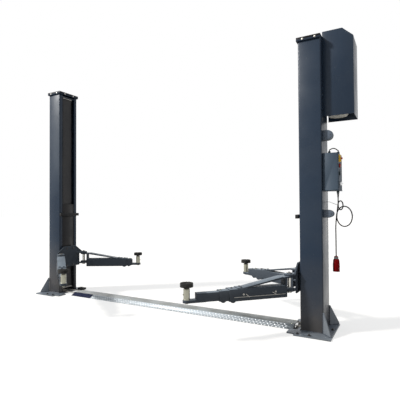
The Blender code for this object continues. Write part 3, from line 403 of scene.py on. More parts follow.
def woven_curtain(name):
    """Dark cloth with threads both ways."""
    finish = Finish(name, (0.016, 0.016, 0.018), 0.62, 0.0, 0.4)
    finish.patches((0.045, 0.043, 0.042), 0.5, scale=5.0, detail=6, low=0.45, high=0.75, stretch=(1, 1, 0.3))
    for bands, turn in (("X", pi / 2), ("Z", 0)):
        wave = finish.node("TexWave", {"Scale": 260.0})
        wave.bands_direction = bands
        mapping = finish.node("Mapping", {"Rotation": (0, 0, turn)})
        finish.link(finish.coords, mapping.inputs["Vector"])
        finish.link(mapping.outputs["Vector"], wave.inputs["Vector"])
        finish.bump(wave.outputs["Fac"], 0.12, 0.0004)
    return finish.mat


# The posts' paint is warmer near the floor: a painted ground reflection, with dust
PAINT = paint("grey_blue_paint", (0.014, 0.027, 0.049), (0.044, 0.056, 0.074), specular=0.22, foot=0.62)
CONTROL_PAINT = paint("control_box_paint", (0.05, 0.07, 0.096), (0.075, 0.095, 0.112), (0.5, 0.62),
                      0.3, 0.1, specular=0.12)
# The arms' faces that look up are made paler: a painted sky sheen, with dust
ARM_PAINT = paint("arm_paint", (0.056, 0.066, 0.08), (0.085, 0.092, 0.1), (0.28, 0.46), 0.4, 0.4,
                  top=0.56, specular=0.03)
# The base plates' paint is a lighter copy of the posts' paint, standing for sunlight on them: painted light.
# Their faces that look up are paler still: a painted sky sheen, with dust.
BASE_PAINT = paint("base_paint", (0.098, 0.116, 0.14), (0.19, 0.196, 0.198), (0.3, 0.5), 0.5, 0.4,
                   top=0.1, specular=0.45)
LID_PAINT = lid_paint("lid_paint", (0.006, 0.006, 0.007), (0.02, 0.019, 0.018), (0.026, 0.039, 0.061), 2.642)
DARK_PAINT = paint("carriage_paint", (0.008, 0.008, 0.01), (0.036, 0.032, 0.029), (0.3, 0.5), 0.5, 0.35)
END_PAINT = paint("cover_end_paint", (0.02, 0.024, 0.052), (0.05, 0.055, 0.08))
ARM_TRIM = paint("arm_trim_paint", (0.034, 0.042, 0.054), (0.085, 0.082, 0.08), (0.26, 0.44), 0.5, 0.7)
MOTOR = paint("motor_paint", (0.46, 0.45, 0.4), (0.55, 0.52, 0.45), (0.35, 0.5), 0.4, 0.1)
SWITCH_PAINT = paint("switch_housing", (0.1, 0.124, 0.16), (0.09, 0.1, 0.12), (0.32, 0.45), 0.3, 0.1)
GALVANISED = galvanised("galvanised_cover")
STEEL = bare_metal("bright_steel", (0.62, 0.6, 0.55))
DULL_STEEL = bare_metal("dull_steel", (0.34, 0.33, 0.31), (0.35, 0.55))
CHAIN_STEEL = bare_metal("chain_steel", (0.46, 0.44, 0.4), (0.3, 0.5))
BRIGHT_ZINC = bare_metal("bright_zinc", (0.74, 0.75, 0.76), (0.22, 0.36), stain=(0.3, 0.29, 0.27))
ZINC = bare_metal("yellow_zinc", (0.34, 0.335, 0.27), (0.26, 0.42), (1, 1, 0.3), 0.9, (0.26, 0.23, 0.17))
BRIGHT_TREAD = bare_metal("tread_plate", (0.92, 0.93, 0.94), (0.3, 0.45), metallic=0.35,
                          stain=(0.8, 0.81, 0.81))
BLACK_BOLT = bare_metal("black_bolt", (0.05, 0.05, 0.052), (0.35, 0.55), metallic=0.4,
                        stain=(0.07, 0.06, 0.05))
WELD = bare_metal("painted_weld", (0.05, 0.06, 0.08), (0.35, 0.5), metallic=0.0, stain=(0.09, 0.09, 0.1))
RUBBER = rubber("pad_rubber", (0.018, 0.018, 0.017), (0.075, 0.071, 0.065))
BUMPER = rubber("bumper_rubber", (0.012, 0.012, 0.013), (0.04, 0.04, 0.04), 0.6)
CORD_BLACK = rubber("cord_sheath", (0.004, 0.004, 0.005), (0.008, 0.008, 0.008), 0.6, 300.0, 0.05)
CURTAIN = woven_curtain("curtain_fabric")
YELLOW = plastic("switch_yellow", (0.8, 0.5, 0.03), 0.38, (0.6, 0.4, 0.1))
RED = plastic("switch_red", (0.36, 0.018, 0.01), 0.35, (0.3, 0.06, 0.04))
PLUG_RED = plastic("plug_red", (0.15, 0.0005, 0.001), 0.42, (0.11, 0.002, 0.002), 0.06)
DARK_PLASTIC = plastic("dark_plastic", (0.02, 0.035, 0.035), 0.4, (0.1, 0.12, 0.12))
GREY_PLASTIC = plastic("grey_plastic", (0.16, 0.165, 0.17), 0.45, (0.25, 0.25, 0.25))

# Finish of each CAD node, by the longest name that it starts with
CAD_FINISHES = {
    "base_plate": BASE_PAINT, "post": PAINT, "post_lid": LID_PAINT, "lift_screw": STEEL,
    "carriage": DARK_PAINT, "yoke": ARM_PAINT, "bump_bar": BUMPER, "arm_outer": ARM_PAINT,
    "arm_middle": ARM_PAINT, "arm_inner": ARM_PAINT, "pad_barrel": ZINC, "lift_pad": RUBBER,
    "floor_cover": GALVANISED, "motor_cover": PAINT, "motor": MOTOR, "control_box": CONTROL_PAINT,
    "switch_plate": YELLOW,
    "switch_knob": RED, "red_button": RED, "dark_button": DARK_PLASTIC, "limit_switch": SWITCH_PAINT,
    "control_cable": CORD_BLACK, "cord_hook": STEEL, "power_cord": CORD_BLACK, "power_plug": PLUG_RED,
    "slot_curtain": CURTAIN, "drive_chain": CHAIN_STEEL,
}
BEVELS = {
    "base_plate": 0.0015, "post": 0.0015, "post_lid": 0.0012, "yoke": 0.0015, "bump_bar": 0.003,
    "arm_outer": 0.0015, "arm_middle": 0.0012, "arm_inner": 0.0012, "carriage": 0.0012,
    "motor_cover": 0.0012, "switch_plate": 0.0008, "limit_switch": 0.01, "red_button": 0.0015,
    "dark_button": 0.0015, "pad_barrel": 0.0012,
}
MERGE_GAP = 0.00002
BEVEL_FROM = radians(40)
SHARP_FROM = radians(32)


def finish_cad_nodes():
    for name, obj in NODES.items():
        key = max((k for k in CAD_FINISHES if name.startswith(k)), key=len)
        obj.data.materials.clear()
        obj.data.materials.append(CAD_FINISHES[key])
        weld = obj.modifiers.new("weld", "WELD")
        weld.merge_threshold = MERGE_GAP
        if key in BEVELS:
            edge = obj.modifiers.new("edges", "BEVEL")
            edge.width = BEVELS[key]
            edge.segments = 2
            edge.limit_method = "ANGLE"
            edge.angle_limit = BEVEL_FROM
        obj.data.shade_smooth()
        obj.data.set_sharp_from_angle(angle=SHARP_FROM)


finish_cad_nodes()

# The power cord takes the route of its solid, as one smooth curve. Drops are below its exit.
CORD_DIAMETER = 0.01
CORD_EXIT = (0.2125, 0.0, 1.2417)
CURL_DROP = 0.107
CURL_HALF = 0.039
CURL_PITCH = 0.016
CURL_LEAN = radians(50.0)
LOOP_DROP = 0.205
LOOP_HALF_WIDTH, LOOP_HALF_HEIGHT = 0.065, 0.089
LOOP_BACK = 0.009
LOOP_FRONT = -0.024
LOOP_PITCH = 0.017
PLUG_BACK, PLUG_FRONT, PLUG_DROP = 0.016, -0.04, 0.557


def turn_points(middle, half_width, half_height, front, pitch, lean=0.0, steps=12):
    """One turn of cord that starts and ends at its left, going down."""
    points = []
    for k in range(steps + 1):
        angle = pi * (1 + 2 * k / steps)
        out = half_width * (1 + cos(angle))
        points.append((
            middle[0] - half_width * cos(lean) + out * cos(lean),
            front - pitch * k / steps - out * sin(lean),
            middle[1] + half_height * sin(angle),
        ))
    return points


def cord_route():
    x, y, z = CORD_EXIT
    route = [(x, y, z - CURL_DROP * share) for share in (0.0, 0.35, 0.7)]
    route += turn_points((x + CURL_HALF * cos(CURL_LEAN), z - CURL_DROP),
                         CURL_HALF, CURL_HALF, y, CURL_PITCH, CURL_LEAN)
    route += turn_points((x - LOOP_BACK + LOOP_HALF_WIDTH, z - LOOP_DROP),
                         LOOP_HALF_WIDTH, LOOP_HALF_HEIGHT, LOOP_FRONT, LOOP_PITCH)
    plug = Vector((x - PLUG_BACK, PLUG_FRONT, z - PLUG_DROP))
    above = Vector((plug.x, plug.y, z - LOOP_DROP - LOOP_HALF_HEIGHT))
    return route + [tuple(above.lerp(plug, share)) for share in (0.0, 0.33, 0.66, 0.9, 1.0)]


def smooth_points(points, share=4):
    """A curve through all the points, with some more between each pair."""
    route = [Vector(p) for p in points]
    ends = [route[0] * 2 - route[1]] + route + [route[-1] * 2 - route[-2]]
    out = []
    for a, b, c, d in zip(ends, ends[1:], ends[2:], ends[3:]):
        for k in range(share):
            t = k / share
            out.append(0.5 * ((2 * b) + (c - a) * t + (2 * a - 5 * b + 4 * c - d) * t * t
                              + (3 * b - a - 3 * c + d) * t ** 3))
    out.append(route[-1])
    return out


def make_cord():
    points = smooth_points(cord_route())
    curve = bpy.data.curves.new("cord", "CURVE")
    curve.dimensions = "3D"
    curve.bevel_depth = CORD_DIAMETER / 2
    curve.bevel_resolution = 4
    curve.use_fill_caps = True
    spline = curve.splines.new("POLY")
    spline.points.add(len(points) - 1)
    for point, spot in zip(spline.points, points):
        point.co = (*spot, 1.0)
    curve.materials.append(CORD_BLACK)
    cord = add("cord", curve)
    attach(cord, "root")
    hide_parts("power_cord")
    return cord, points


CORD, CORD_POINTS = make_cord()

# Studio. The sky's colours go from below to above.
SKY = [(0.0, (0.24, 0.225, 0.2)), (0.1, (0.36, 0.35, 0.33)), (0.3, (0.5, 0.51, 0.53)),
       (0.6, (0.58, 0.61, 0.65)), (1.0, (0.56, 0.6, 0.66))]
WHITE = (1, 1, 1, 1)
FLOOR_REACH = 40
FLOOR_PLACE = (-1.66, 0, -0.0004)
FLOOR_COLOUR = (0.4, 0.385, 0.36, 1)
FLOOR_GLOW = 0.64
SUN_POWER = 3.3
SUN_SPREAD = radians(6)
SUN_COLOUR = (1.0, 0.985, 0.96)
SUN_HEADING = (0.66, 0.56, -0.64)
WINDOW_PLACE, WINDOW_TARGET = (-7.2, -5.4, 3.6), (-3.3, 0.0, 1.6)
WINDOW_SIZE = (4.4, 2.4)
WINDOW_POWER = 95
WINDOW_COLOUR = (0.92, 0.97, 1.0)


def seen_white(tree):
    """One for camera, glossy and transmission rays, which all see the white background."""
    rays = new_node(tree, "LightPath")
    total = rays.outputs["Is Camera Ray"]
    for name in ("Is Glossy Ray", "Is Transmission Ray"):
        step = new_node(tree, "Math")
        step.operation = "MAXIMUM"
        tree.links.new(total, step.inputs[0])
        tree.links.new(rays.outputs[name], step.inputs[1])
        total = step.outputs[0]
    return total


def show(tree, output, seen, hidden):
    """Sends one shader to the rays that see the white background, and another to all the others."""
    out, mix, link = new_node(tree, output), new_node(tree, "MixShader"), tree.links.new
    link(seen_white(tree), mix.inputs["Fac"])
    link(hidden.outputs[0], mix.inputs[1])
    link(seen.outputs[0], mix.inputs[2])
    link(mix.outputs[0], out.inputs["Surface"])


def make_world():
    world = bpy.data.worlds.new("studio")
    bpy.context.scene.world = world
    world.use_nodes = True
    tree = world.node_tree
    tree.nodes.clear()
    coords, split, ramp = (new_node(tree, kind) for kind in ("TexCoord", "SeparateXYZ", "ValToRGB"))
    sky = new_node(tree, "Background")
    tree.links.new(coords.outputs["Generated"], split.inputs["Vector"])
    tree.links.new(split.outputs["Z"], ramp.inputs["Fac"])
    tree.links.new(ramp.outputs["Color"], sky.inputs["Color"])
    stops = ramp.color_ramp.elements
    stops[0].position, stops[1].position = SKY[0][0], SKY[-1][0]
    for position, _ in SKY[1:-1]:
        stops.new(position)
    for stop, (position, colour) in zip(stops, SKY):
        stop.position = position
        stop.color = (*colour, 1.0)
    show(tree, "OutputWorld", new_node(tree, "Background", {"Color": WHITE}), sky)


def make_floor():
    mesh = bpy.data.meshes.new("floor")
    work = bmesh.new()
    bmesh.ops.create_grid(work, x_segments=1, y_segments=1, size=FLOOR_REACH)
    work.to_mesh(mesh)
    work.free()
    floor = add("floor", mesh)
    floor.location = FLOOR_PLACE
    mat = bpy.data.materials.new("floor")
    mat.use_nodes = True
    tree = mat.node_tree
    tree.nodes.clear()
    diffuse = new_node(tree, "BsdfDiffuse", {"Color": FLOOR_COLOUR})
    glow = new_node(tree, "Emission", {"Color": WHITE, "Strength": FLOOR_GLOW})
    both = new_node(tree, "AddShader")
    tree.links.new(diffuse.outputs[0], both.inputs[0])
    tree.links.new(glow.outputs[0], both.inputs[1])
    show(tree, "OutputMaterial", both, diffuse)
    mesh.materials.append(mat)


def heading_turn(heading):
    """The turn of a light that shines along a heading."""
    return Vector(heading).to_track_quat("-Z", "Y").to_euler()


def make_lights():
    data = bpy.data.lights.new("key", "SUN")
    data.energy = SUN_POWER
    data.angle = SUN_SPREAD
    data.color = SUN_COLOUR
    add("key", data).rotation_euler = heading_turn(SUN_HEADING)
    data = bpy.data.lights.new("window", "AREA")
    data.shape = "RECTANGLE"
    data.size, data.size_y = WINDOW_SIZE
    data.energy = WINDOW_POWER
    data.color = WINDOW_COLOUR
    window = add("window", data)
    window.location = WINDOW_PLACE
    window.rotation_euler = heading_turn(Vector(WINDOW_TARGET) - Vector(WINDOW_PLACE))


# Pieces. Their sizes repeat the CAD's own.
UP = (0, 0, 1)
SIDES = {"left": -1, "right": 1}
ENDS = (-1, 1)
# Each arm's side and end, its swing in degrees, and how far its middle and its inner stage are out
ARMS = {
    "front_left": (-1, -1, 39.3, 0.16, 0.186),
    "front_right": (1, -1, 46.1, 0.025, 0.187),
    "rear_left": (-1, 1, 29.7, 0.0, 0.0),
    "rear_right": (1, 1, 28.0, 0.022, 0.061),
}
PIN_X, PIN_Y = 1.48, 0.195
PAD_AT = 0.745


def arm_place(side, end, swing):
    """The arm's own frame: X runs out along the arm from its pin."""
    heading = (0 if side < 0 else pi) - side * end * radians(swing)
    return moved((side * PIN_X - POST_MIDDLE, end * PIN_Y, 0)) @ turned(heading)


def facing_x(spot):
    """A frame at a spot, with its Z along the lift's X."""
    return LAID_OUT @ moved(spot) @ turned(pi / 2, "Y")


ANCHORS = ((POST_MIDDLE, -0.25), (POST_MIDDLE, 0.19), (1.562, -0.25), (1.562, 0.19), (1.817, 0.0))
ANCHOR_FOOT, STUD_NECK, STUD_TIP = 0.0123, 0.025, 0.027
STUD_RADIUS, STUD_TIP_RADIUS = 0.006, 0.0046
FOOT_WELD_Z, GUSSET_WELD_Z = 0.015, 0.0145
GUSSET_CORNER = (1.753, 0.1325)
GUSSET_START, GUSSET_LENGTH, GUSSET_CHEEK = 0.016, 0.1, 0.0072
GUSSET_UPRIGHT = (0.02, 0.185)


def weld_foot(welds, side):
    """Beads round the foot of a post and along both cheeks of its two gussets."""
    z = FOOT_WELD_Z
    for end in ENDS:
        y = end * 0.1465
        weld_bead(welds, (side * 1.575, y, z), (side * 1.755, y, z))
        weld_bead(welds, (side * 1.56, end * 0.104, z), (side * 1.56, end * 0.136, z))
        corner = Vector((side * GUSSET_CORNER[0], end * GUSSET_CORNER[1], 0))
        out = Vector((side, end, 0)).normalized()
        across = Vector((-out.y, out.x, 0))
        level, foot, top = (rise(height) for height in (GUSSET_WELD_Z, *GUSSET_UPRIGHT))
        for cheek in (-1, 1):
            root = corner + out * GUSSET_START + across * cheek * GUSSET_CHEEK
            weld_bead(welds, root + level, root + out * GUSSET_LENGTH + level)
            weld_bead(welds, root + foot, root + top, 0.0028)
    weld_bead(welds, (side * 1.7672, -0.125, z), (side * 1.7672, 0.125, z))


def make_feet():
    bolts, welds = Shape(), Shape()
    for side in SIDES.values():
        for x, y in ANCHORS:
            foot, neck, tip = ((side * x, y, z) for z in (ANCHOR_FOOT, STUD_NECK, STUD_TIP))
            bolts.bolt(foot, UP, 0.0105, 0.009)
            bolts.rod(foot, neck, STUD_RADIUS, 14)
            bolts.rod(neck, tip, STUD_RADIUS, 14, STUD_TIP_RADIUS)
        weld_foot(welds, side)
    bolts.done("anchor_bolts", BLACK_BOLT, "zinc_plate")
    welds.done("foot_welds", WELD, "frame_paint", smooth=80)


def make_lid_bolts():
    radius, head = 0.0062, 0.005
    bolts = Shape()
    for side in SIDES.values():
        for x in (1.606, 1.717):
            for end in ENDS:
                bolts.bolt((side * x, end * 0.1568, 2.641), (0, end, 0), radius, head)
        for y in (-0.07, 0.07):
            bolts.bolt((side * 1.5497, y, 2.642), (-side, 0, 0), radius, head)
    bolts.done("lid_bolts", STEEL, "zinc_plate")


# The floor cover: half its width, and the run and the rise of its sloping sides
COVER_HALF = 0.13
SLOPE_RUN, SLOPE_RISE = 0.062, 0.034
SLOPE = atan2(SLOPE_RISE, SLOPE_RUN)
SLOPE_LENGTH = hypot(SLOPE_RISE, SLOPE_RUN)
TREAD_START, TREAD_LENGTH, TREAD_PITCH, TREAD_ROWS = -1.335, 2.8, 0.036, 3
TREAD_FOOT = 0.0003
LOZENGE = (0.025, 0.0098, 0.0018)
END_PLATE_REACH = -1.03


def make_cover_tread():
    """Lozenges on both slopes, but none under the end plate at the front."""
    bumps = Shape()
    for end in ENDS:
        for row in range(TREAD_ROWS):
            across = SLOPE_LENGTH * (row + 0.5) / TREAD_ROWS
            y = end * (COVER_HALF - across * cos(SLOPE))
            z = across * sin(SLOPE) + TREAD_FOOT
            for k in range(int(TREAD_LENGTH / TREAD_PITCH)):
                x = TREAD_START + TREAD_PITCH * (k + 0.5 * (row % 2))
                if end < 0 and x < END_PLATE_REACH:
                    continue
                turn = turned(radians(45 if (row + k) % 2 else -45))
                place = moved((x, y, z)) @ turned(-end * SLOPE, "X") @ turn
                bumps.disc(place, LOZENGE, 8, foot=0.5, top=0.3)
    bumps.done("cover_tread", BRIGHT_TREAD, "cover_steel", smooth=60)


def make_cover_end_plate():
    sheet = 0.0012
    plate = Shape()
    low = Vector((0, -0.1302, 0.0012))
    high = Vector((0, -0.07, 0.0342))
    normal = Vector((0, -sin(SLOPE), cos(SLOPE))) * sheet
    verts = [plate.vert(corner + Vector((x, 0, 0)))
             for x in (-1.3605, -1.04) for corner in (low, high, high + normal, low + normal)]
    for k in range(4):
        j = (k + 1) % 4
        plate.face((verts[k], verts[j], verts[j + 4], verts[k + 4]))
    plate.face(verts[3::-1])
    plate.face(verts[4:])
    plate.done("cover_end_plate", END_PAINT, "frame_paint")


def make_cover_screws():
    foot, top = 0.0342, 0.0372
    screws = Shape()
    for x in (-1.325, -0.45, 0.45, 1.46):
        for end in ENDS:
            screws.rod((x, end * 0.052, foot), (x, end * 0.052, top), 0.0065, 14, 0.0048)
    screws.done("cover_screws", ZINC, "zinc_plate")


def make_cover_end_frame():
    """The dark rim round the cover's open end, and a thin dark sheet on the floor between it and the base
    plate, which is painted shade.
    """
    rim = Shape()
    outer = [(-0.13, 0.0006), (-0.068, 0.034), (0.068, 0.034), (0.13, 0.0006)]
    inner = [(-0.064, 0.0006), (-0.064, 0.0305), (0.064, 0.0305), (0.064, 0.0006)]
    rings = []
    for x in (1.4906, 1.493):
        for loop in (outer, inner):
            rings.append([rim.vert((x, y, z)) for y, z in loop])
    near_out, near_in, far_out, far_in = rings
    for k in range(3):
        rim.face((near_out[k], near_out[k + 1], near_in[k + 1], near_in[k]))
        rim.face((far_out[k], far_in[k], far_in[k + 1], far_out[k + 1]))
        rim.face((near_out[k], far_out[k], far_out[k + 1], near_out[k + 1]))
        rim.face((near_in[k], near_in[k + 1], far_in[k + 1], far_in[k]))
    for k in (0, 3):
        rim.face((near_out[k], near_in[k], far_in[k], far_out[k]))
    # A thin dark sheet lying on the floor: painted shade
    rim.box((1.4936, -0.129, 0.0004), (1.5312, 0.129, 0.0034))
    rim.done("cover_end_frame", DARK_PAINT, "carriage_paint")


def make_ear_block():
    block = Shape()
    block.box((-1.53, 0.134, 0.0125), (-1.425, 0.186, 0.038))
    block.bolt((-1.478, 0.16, 0.0382), UP, 0.009, 0.007)
    block.done("ear_block", DARK_PAINT, "carriage_paint")


CHAIN_RADIUS, CHAIN_HEIGHT, CHAIN_PITCH = 0.0533, 0.0215, 0.0127
# Outer and inner link plates: how far they lie from the chain's middle plane
OUTER_PLATE, INNER_PLATE = 0.0052, 0.0034
CHAIN_PIN, CHAIN_PIN_HALF = 0.0023, 0.0064
CHAIN_ROLLER, CHAIN_ROLLER_HALF = 0.004, 0.0026


def make_chain():
    links, rollers = Shape(), Shape()
    radius, middle = CHAIN_RADIUS, POST_MIDDLE
    straight, bend = 2 * middle, pi * radius
    total = 2 * (straight + bend)
    count = int(total / CHAIN_PITCH / 2) * 2

    def spot(run):
        """The point on the loop that lies a run along it."""
        run %= total
        if run < straight:
            return Vector((-middle + run, -radius, CHAIN_HEIGHT))
        run -= straight
        if run < bend:
            return around((middle, 0), radius, -pi / 2 + run / radius, CHAIN_HEIGHT)
        run -= bend
        if run < straight:
            return Vector((middle - run, radius, CHAIN_HEIGHT))
        run -= straight
        return around((-middle, 0), radius, pi / 2 + run / radius, CHAIN_HEIGHT)

    for k in range(count):
        here, ahead = spot(total * k / count), spot(total * (k + 1) / count)
        turn = turned(atan2(ahead.y - here.y, ahead.x - here.x))
        length = (ahead - here).length
        level = OUTER_PLATE if k % 2 else INNER_PLATE
        for face in (-1, 1):
            place = moved((here + ahead) / 2 + rise(face * level)) @ turn
            links.disc(place, (length * 0.8, 0.0048, 0.0014), 10)
        for bar, half, sides in ((CHAIN_PIN, CHAIN_PIN_HALF, 6), (CHAIN_ROLLER, CHAIN_ROLLER_HALF, 8)):
            rollers.rod(here - rise(half), here + rise(half), bar, sides)
    plates = links.done("chain_links", CHAIN_STEEL, "bright_steel")
    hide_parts("drive_chain")
    rollers.done("chain_rollers", STEEL, "bright_steel")


CURTAIN_LOW, CURTAIN_HIGH, CURTAIN_HALF = 0.062, 2.596, 0.075
CURTAIN_X, CURTAIN_THICK = 1.587, 0.0022
CURTAIN_COLUMNS, CURTAIN_ROWS = 10, 150
RAIL_X, RAIL_HALF = 1.586, 0.0748


def curtain_wave(y, z, side):
    """How far a slack spot of the curtain stands out of its plane."""
    long_wave = 0.0016 * sin(z * 9.0 + side)
    short_wave = 0.0011 * sin(z * 23.0 + y * 14)
    return long_wave + short_wave + 0.0022 * (y / CURTAIN_HALF) ** 2


def make_curtain(word, side):
    cloth = Shape(Matrix.Identity(4))
    grid = []
    for j in range(CURTAIN_ROWS + 1):
        z = CURTAIN_LOW + (CURTAIN_HIGH - CURTAIN_LOW) * j / CURTAIN_ROWS
        line = []
        for i in range(CURTAIN_COLUMNS + 1):
            y = -CURTAIN_HALF + 2 * CURTAIN_HALF * i / CURTAIN_COLUMNS
            x = side * (CURTAIN_X + curtain_wave(y, z, side))
            line.append(cloth.vert((x - POST_MIDDLE, y, z)))
        grid.append(line)
    for j in range(CURTAIN_ROWS):
        for i in range(CURTAIN_COLUMNS):
            cloth.face((grid[j][i], grid[j][i + 1], grid[j + 1][i + 1], grid[j + 1][i]))
    sheet = cloth.done("curtain_" + word, CURTAIN, "curtain")
    thick = sheet.modifiers.new("thickness", "SOLIDIFY")
    thick.thickness = CURTAIN_THICK
    thick.offset = 0.0
    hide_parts("slot_curtain_" + word)
    rails = Shape()
    for z in (0.066, 2.59):
        rails.box((side * RAIL_X - 0.0032, -RAIL_HALF, z - 0.004),
                  (side * RAIL_X + 0.005, RAIL_HALF, z + 0.006))
    ends = rails.done("curtain_rails_" + word, DULL_STEEL, "bright_steel")


# An arm's pin with its cap and ring: foot, top, radius and top radius
PIN_STACK = ((0.386, 0.5052, 0.01625, None), (0.352, 0.3672, 0.01625, None),
             (0.5316, 0.5336, 0.0235, 0.0215), (0.3535, 0.3565, 0.0205, None))


def make_carriage_trim(word, side):
    body = "lift_carriage_" + word
    pins, bolts, welds = Shape(), Shape(), Shape()
    for end in ENDS:
        x, y = side * PIN_X, end * PIN_Y
        for foot, top, radius, top_radius in PIN_STACK:
            pins.rod((x, y, foot), (x, y, top), radius, 28, top_radius)
        bolts.bolt((x, y, 0.5337), UP, 0.0085, 0.006)
        for z in (0.3665, 0.5045):
            weld_bead(welds, (side * 1.5262, end * 0.105, z), (side * 1.5262, end * 0.158, z), 0.003)
    for y in (-0.05, 0.05):
        for z in (0.362, 0.585):
            bolts.bolt((side * 1.5268, y, z), (-side, 0, 0), 0.01, 0.008)
    pins.done("arm_pins_" + word, STEEL, "bright_steel", body)
    bolts.done("yoke_bolts_" + word, BLACK_BOLT, "zinc_plate", body)
    welds.done("yoke_welds_" + word, WELD, "frame_paint", body, smooth=80)


PAD_PROFILE = [
    (0.014, 0.466), (0.048, 0.466), (0.053, 0.4675), (0.0557, 0.472), (0.0557, 0.48), (0.053, 0.483),
    (0.053, 0.485), (0.0557, 0.488), (0.0557, 0.4945), (0.053, 0.4975), (0.047, 0.4982), (0.014, 0.4982),
]
PAD_RIBS, RIB_Z = 24, 0.4992
OUTER_RIB_AT, OUTER_RIB = 0.0455, (0.014, 0.0075, 0.0052)
INNER_RIB_AT, INNER_RIB = 0.026, (0.013, 0.0075, 0.0048)
THREAD_FOOT, THREAD_TOP, THREAD_PITCH = 0.388, 0.456, 0.004
THREAD_CREST, THREAD_ROOT = 0.0138, 0.0122


def make_pad(label, place, pad_x):
    """The rubber of a pad with its ribs, and the threaded spindle under it."""
    pad = Shape(place)
    pad.lathe(PAD_PROFILE, (pad_x, 0), 40)
    for k in range(PAD_RIBS):
        turn = moved((pad_x, 0, 0)) @ turned(tau * k / PAD_RIBS)
        pad.block(turn @ moved((OUTER_RIB_AT, 0, RIB_Z)), OUTER_RIB)
        if k % 2:
            pad.block(turn @ moved((INNER_RIB_AT, 0, RIB_Z)), INNER_RIB)
    rubber_part = pad.done("pad_rubber_" + label, RUBBER, "rubber", "pad_" + label)
    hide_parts("lift_pad_" + label)
    spindle = Shape(place)
    profile = [(0.011, 0.3842), (0.0134, 0.3866)]
    level = THREAD_FOOT
    while level < THREAD_TOP:
        profile += [(THREAD_CREST, level), (THREAD_ROOT, level + 0.0012), (THREAD_ROOT, level + 0.0018),
                    (THREAD_CREST, level + 0.003)]
        level += THREAD_PITCH
    profile += [(0.0136, 0.46), (0.0136, 0.4662)]
    spindle.lathe(profile, (pad_x, 0), 28)
    spindle.done("pad_spindle_" + label, DULL_STEEL, "bright_steel", "pad_" + label)


def make_barrel_rings(label, place, pad_x):
    barrel = Shape(place)
    barrel.band([(0.0268, 0.3625), (0.03, 0.3628), (0.03, 0.366), (0.0272, 0.369)], (pad_x, 0))
    barrel.band([(0.0271, 0.444), (0.0282, 0.4446), (0.0282, 0.4474), (0.0271, 0.448)], (pad_x, 0))
    barrel.bolt((pad_x + 0.0265, 0, 0.405), (1, 0, 0), 0.006, 0.006, False)
    barrel.rod((pad_x, 0, 0.3285), (pad_x, 0, 0.3375), 0.012, 20)
    barrel.done("barrel_rings_" + label, ZINC, "zinc_plate", "inner_stage_" + label)


def make_arm_trim(label, place):
    """Side bolts, the beads beside the strap, and the bolts on top of the outer stage."""
    trim = Shape(place)
    for edge in (-1, 1):
        for x in (0.14, 0.5):
            trim.bolt((x, edge * 0.0501, 0.342), (0, edge, 0), 0.0065, 0.005)
        weld_bead(trim, (0.098, edge * 0.047, 0.49), (0.44, edge * 0.047, 0.432), 0.0022)
    trim.bolt((0.56, 0, 0.4302), UP, 0.0085, 0.008)
    for y in (0.022, -0.022):
        trim.bolt((0.48, y, 0.4362), UP, 0.008, 0.007)
    trim.done("arm_trim_" + label, ARM_TRIM, "frame_paint", "swing_arm_" + label, smooth=60)


def make_arm(label, side, end, swing, out_middle, out_inner):
    place = arm_place(side, end, swing)
    pad_x = PAD_AT + out_middle + out_inner
    make_pad(label, place, pad_x)
    make_barrel_rings(label, place, pad_x)
    make_arm_trim(label, place)
    stop = Shape(place)
    stop.bolt((0.655 + out_middle - 0.02, 0, 0.4222), UP, 0.0075, 0.0075)
    stop.done("stage_stop_" + label, ZINC, "zinc_plate", "middle_stage_" + label)


def make_front_right_rod():
    """The thin rod along the arm's side, with its two short levers and their bolts."""
    face = 0.0512
    shape = Shape(arm_place(*ARMS["front_right"][:3]))
    rod = [(0.07, face + 0.002, 0.359), (0.3, face + 0.003, 0.36), (0.556, face + 0.002, 0.3612)]
    shape.sweep(rod, 0.0026, 8)
    for (x, z), (far_x, far_z) in (((0.45, 0.384), (0.417, 0.357)), ((0.2, 0.384), (0.151, 0.356))):
        lever = [(x, face + 0.0035, z), ((x + far_x) / 2, face + 0.005, (z + far_z) / 2),
                 (far_x, face + 0.0035, far_z)]
        shape.sweep(lever, 0.0032, 8)
    for x, z in ((0.469, 0.382), (0.165, 0.385)):
        shape.bolt((x, face, z), (0, 1, 0), 0.006, 0.006)
    shape.done("arm_stop_rod", DULL_STEEL, "zinc_plate", "swing_arm_front_right")


# The control box: its door's face, the row of its switches, and the centre of its main switch
BOX_FACE = 1.8953
SWITCH_Y = -0.04
MAIN_SWITCH_Z = 1.551
DOOR_LOW, DOOR_HIGH, DOOR_FRONT, DOOR_BACK = 1.27, 1.59, -0.115, 0.092
BUTTONS = ((1.487, RED, "red_plastic"), (1.418, DARK_PLASTIC, "dark_plastic"))
GUARD_PROFILE = [(0.0137, 0.0002), (0.018, 0.0002), (0.018, 0.0076), (0.0168, 0.0092), (0.015, 0.0092),
                 (0.0137, 0.008)]
LOCK_PROFILE = [(0.0122, -0.012), (0.0185, -0.012), (0.0185, 0.002), (0.015, 0.005), (0.006, 0.005),
                (0.006, 0.003), (0.005, 0.003)]
# Glands on and under the box: place and height of the nut
GLANDS = ((1.812, -0.04, 1.5975, 0.011), (1.88, 0.01, 1.5975, 0.01), (1.876, 0.0, 1.253, 0.01))
GLAND_RING = 0.004
CORD_X = 1.876


def make_box_seam():
    seam = Shape()
    corners = [(BOX_FACE + 0.0004, y, z) for y, z in (
        (DOOR_FRONT, DOOR_LOW), (DOOR_BACK, DOOR_LOW), (DOOR_BACK, DOOR_HIGH), (DOOR_FRONT, DOOR_HIGH))]
    for corner, following in zip(corners, corners[1:] + corners[:1]):
        seam.sweep([corner, following], 0.0016, 6)
    for z in (1.32, 1.54):
        hinge_x, hinge_y, half = BOX_FACE - 0.004, 0.0985, 0.022
        seam.rod((hinge_x, hinge_y, z - half), (hinge_x, hinge_y, z + half), 0.0046, 14)
    seam.done("box_door_seam", CONTROL_PAINT, "frame_paint", smooth=60)


